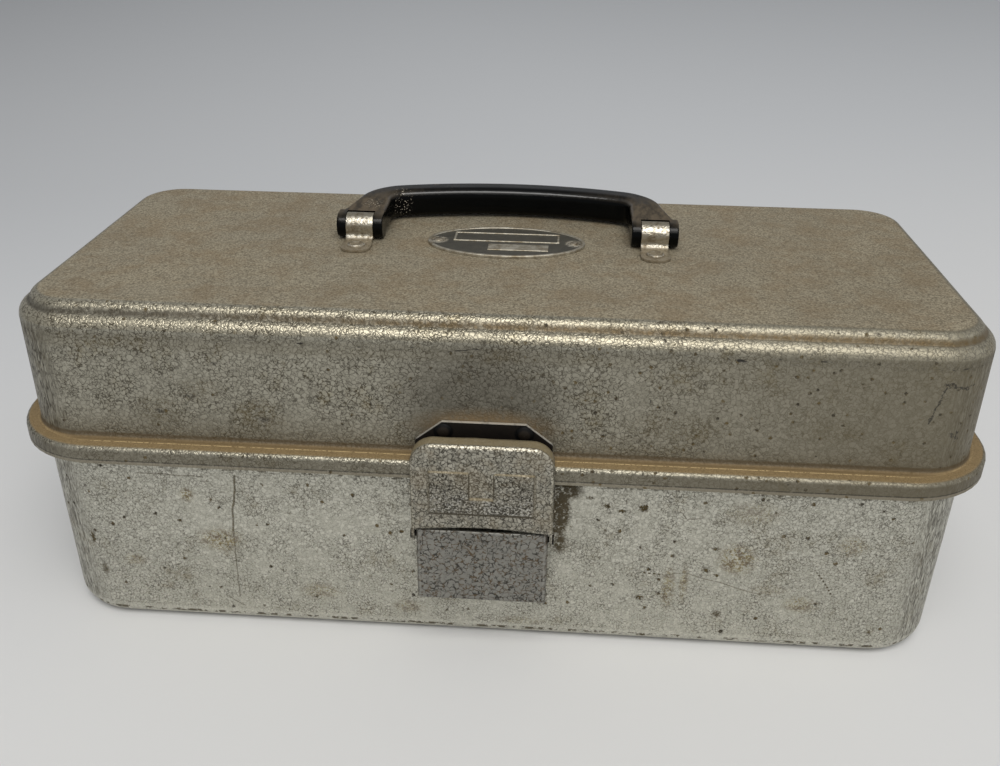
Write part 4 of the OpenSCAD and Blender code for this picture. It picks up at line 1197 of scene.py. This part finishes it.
def latchCover(c):
    columns, rows = 110, 84
    half, r, edge = c["width"] / 2, c["corner"], c["edge"]
    verts = []
    for j in range(rows + 1):
        for i in range(columns + 1):
            s = crowded(i, columns, 0.35)
            low = c["low"] + c["arch"] * (1 - s * s)
            z = low + (c["high"] - low) * (1 - (1 - j / rows) ** 1.35)
            over = max(0.0, z - (c["high"] - r))
            reach = half - rolled(r, r - over)
            x = s * reach
            inside = min(reach - abs(x), half - abs(x), c["high"] - z)
            if over > 0 and abs(x) > half - r:
                inside = r - hypot(abs(x) - half + r, over)
            verts.append((latchX + x, c["face"] + rolled(edge, inside), z))
    faces = gridFaces(rows + 1, columns + 1)
    plateVerts, step = len(verts), columns + 1
    rim = [j * step for j in range(rows + 1)] + [rows * step + i for i in range(1, columns)]
    rim += [j * step + columns for j in range(rows, -1, -1)]

    def endAt(x, z):
        flange = c["flange"] + 0.3 * noise.noise(Vector((x / 9, 4, z / 9)))
        return c["side"] + 0.3 + (flange - c["side"] - 0.3) * softStep(*c["turn"], z)

    turnBack(verts, faces, rim, 5, endAt)
    for i, (x, y, z) in enumerate(verts[:plateVerts]):
        verts[i] = (x, y + c["panel"][3] - coverRelief(c, x - latchX, z), z)
    return thicken(makePiece("latchCover", verts, faces, 50), c["sheet"])


def latchEars(c):
    # the cover's cheeks, down past the lever's pins
    verts, faces = [], []
    low, back, high, r = c["ear"]
    front = c["face"] + c["edge"]
    profile = [(back, high), (back, low + r)]
    for a in range(15, 91, 15):
        dy, dz = polar(r, -a)
        profile.append((back - r + dy, low + r + dz))
    for a in range(0, 91, 15):
        dz, dy = polar(r, a)
        profile.append((front + r - dy, low + r - dz))
    profile.append((front, high))
    for side in (-1, 1):
        outer = latchX + side * c["width"] / 2
        ends = (outer, outer - side * c["sheet"])
        join(verts, faces, *loft([[(x, y, z) for y, z in profile] for x in ends]))
    return bevel(makePiece("latchEars", verts, faces), 0.15)


def latchLever(v):
    columns, rows = 44, 34
    half, face = v["half"], v["face"]
    verts = []
    for j in range(rows + 1):
        z = v["low"] + (v["high"] - v["low"]) * (j / rows) ** 1.5
        for i in range(columns + 1):
            x = crowded(i, columns, 0.4) * half
            y = face + rolled(v["edge"], min(half - abs(x), z - v["low"]))
            y += 0.12 * (1 + noise.noise(Vector((x / 9, 0, z / 9))))
            verts.append((latchX + x, y, z))
    faces = gridFaces(rows + 1, columns + 1)
    step = columns + 1
    rim = [j * step for j in range(rows, -1, -1)] + list(range(1, step))
    rim += [j * step + columns for j in range(1, rows + 1)]

    def endAt(x, z):
        return face + v["depth"] + (v["back"] - face - v["depth"]) * softStep(*v["turn"], z)

    turnBack(verts, faces, rim, 3, endAt)
    return thicken(makePiece("latchLever", verts, faces, 50), v["sheet"])


def leverHook(v):
    # bent hook welded behind the plate
    half, top, back = v["hook"]
    y = v["face"] + 1.0
    line = [
        (y + 0.5, top - 6.5),
        (y + 0.5, top - 2.2),
        (y + 0.7, top - 1.3),
        (y + 1.3, top - 0.6),
        (y + 2.0, top - 0.5),
        (back, top - 0.5),
    ]
    verts = [(latchX + half * (2 * j / 8 - 1), *place) for place in line for j in range(9)]
    piece = thicken(makePiece("leverHook", verts, gridFaces(len(line), 9), 60), 0.95, 0)
    return bevel(piece, 0.15, 50)


coverMetal, leverMetal = coverSheet(cover), leverSheet(lever)
for piece in (latchCover(cover), latchEars(cover)):
    dress(piece, "lid", coverMetal, "latch_cover")
for piece in (latchLever(lever), leverHook(lever)):
    dress(piece, "lever", leverMetal, "latch_lever")
print("latch made")

# ---- solids kept as they are, with their finishes


def rivetMetal():
    r = Recipe("rivetMetal")
    grime = r.noise(0.5, 4.0, 0.7)
    r.tone = r.tint(grime.rise(0.35, 0.65), (200, 190, 170), (104, 90, 68))
    rough = r.noise(3.0, 2.0, 0.7).rise(0.3, 0.7, 0.3, 0.5)
    return r.finish(Metallic=0.9, Roughness=rough, height=grime, depth=0.12)


def workingSteel(name, light, dark, rough, rust=0.0):
    # plain plated or bare metal for hinges, arms, pins and trays
    r = Recipe(name)
    cloud = r.noise(0.08, 4.0, 0.65)
    brushed = r.noise(1.4, 3.0, 0.6, r.stretched(0.12, 1, 1))
    stain = r.noise(0.2, 4.0, 0.7).rise(0.58, 0.72) * rust
    r.tone = r.tint(cloud, dark, light)
    r.coat(stain, (104, 66, 34))
    return r.finish(
        Metallic=0.92 - 0.6 * stain,
        Roughness=rough + 0.14 * cloud + 0.25 * stain,
        height=brushed + cloud * 0.5,
        depth=0.06,
    )


keptNodes = (
    (workingSteel("hingeSteel", (176, 172, 162), (122, 114, 100), 0.4, 0.7), (
        "base_hinge_leaf_left", "base_hinge_leaf_right", "lid_hinge_leaf_left", "lid_hinge_leaf_right",
        "hinge_pins",
    )),
    (rivetMetal(), (
        "base_hinge_rivets", "lid_hinge_rivets", "nameplate_rivets", "arm_pivot_rivets",
        "arm_pivot_washers", "latch_keeper_rivets", "lid_arm_rivets", "lid_arm_spacers",
        "lower_tray_pins", "upper_tray_pins",
    )),
    (latchBlack(bracket), ("latch_bracket", "latch_bracket_rivets", "latch_keeper", "latch_lever_pins")),
    (workingSteel("armMetal", (188, 188, 184), (140, 138, 130), 0.36, 0.25), (
        "lid_arm_left", "lid_arm_right", "front_arm_left", "front_arm_right",
    )),
    (workingSteel("trayMetal", (196, 196, 190), (150, 148, 140), 0.38), (
        "lower_tray", "lower_tray_dividers", "upper_tray", "upper_tray_dividers",
    )),
)
for finish, names in keptNodes:
    for name in names:
        nodes[name].data.materials.clear()
        nodes[name].data.materials.append(finish)

# ---- floor


def floorToneAndShade():
    r = Recipe("floorToneAndShade")
    x, y, _ = r.xyz()
    near = (y - 0.5 * x).rise(700, -200)
    left = (x + 0.35 * y).rise(400, -900)
    # painted shade: the floor a little darker towards the back, and darker still to the back left
    r.tone = r.tint(near, (212, 214, 216), (220, 220, 219))
    r.coat(left * y.rise(-100, 500) * 0.5, (150, 151, 153))
    grain = r.noise(0.02, 3.0, 0.5)
    return r.finish(Roughness=0.62 + 0.1 * grain, height=grain, depth=0.2)


side, front, back = 4000, -1500, 6000
corners = [(-side, front, 0), (side, front, 0), (side, back, 0), (-side, back, 0)]
floor = makePiece("floor", corners, [(0, 1, 2, 3)])
floor.data.materials.append(floorToneAndShade())
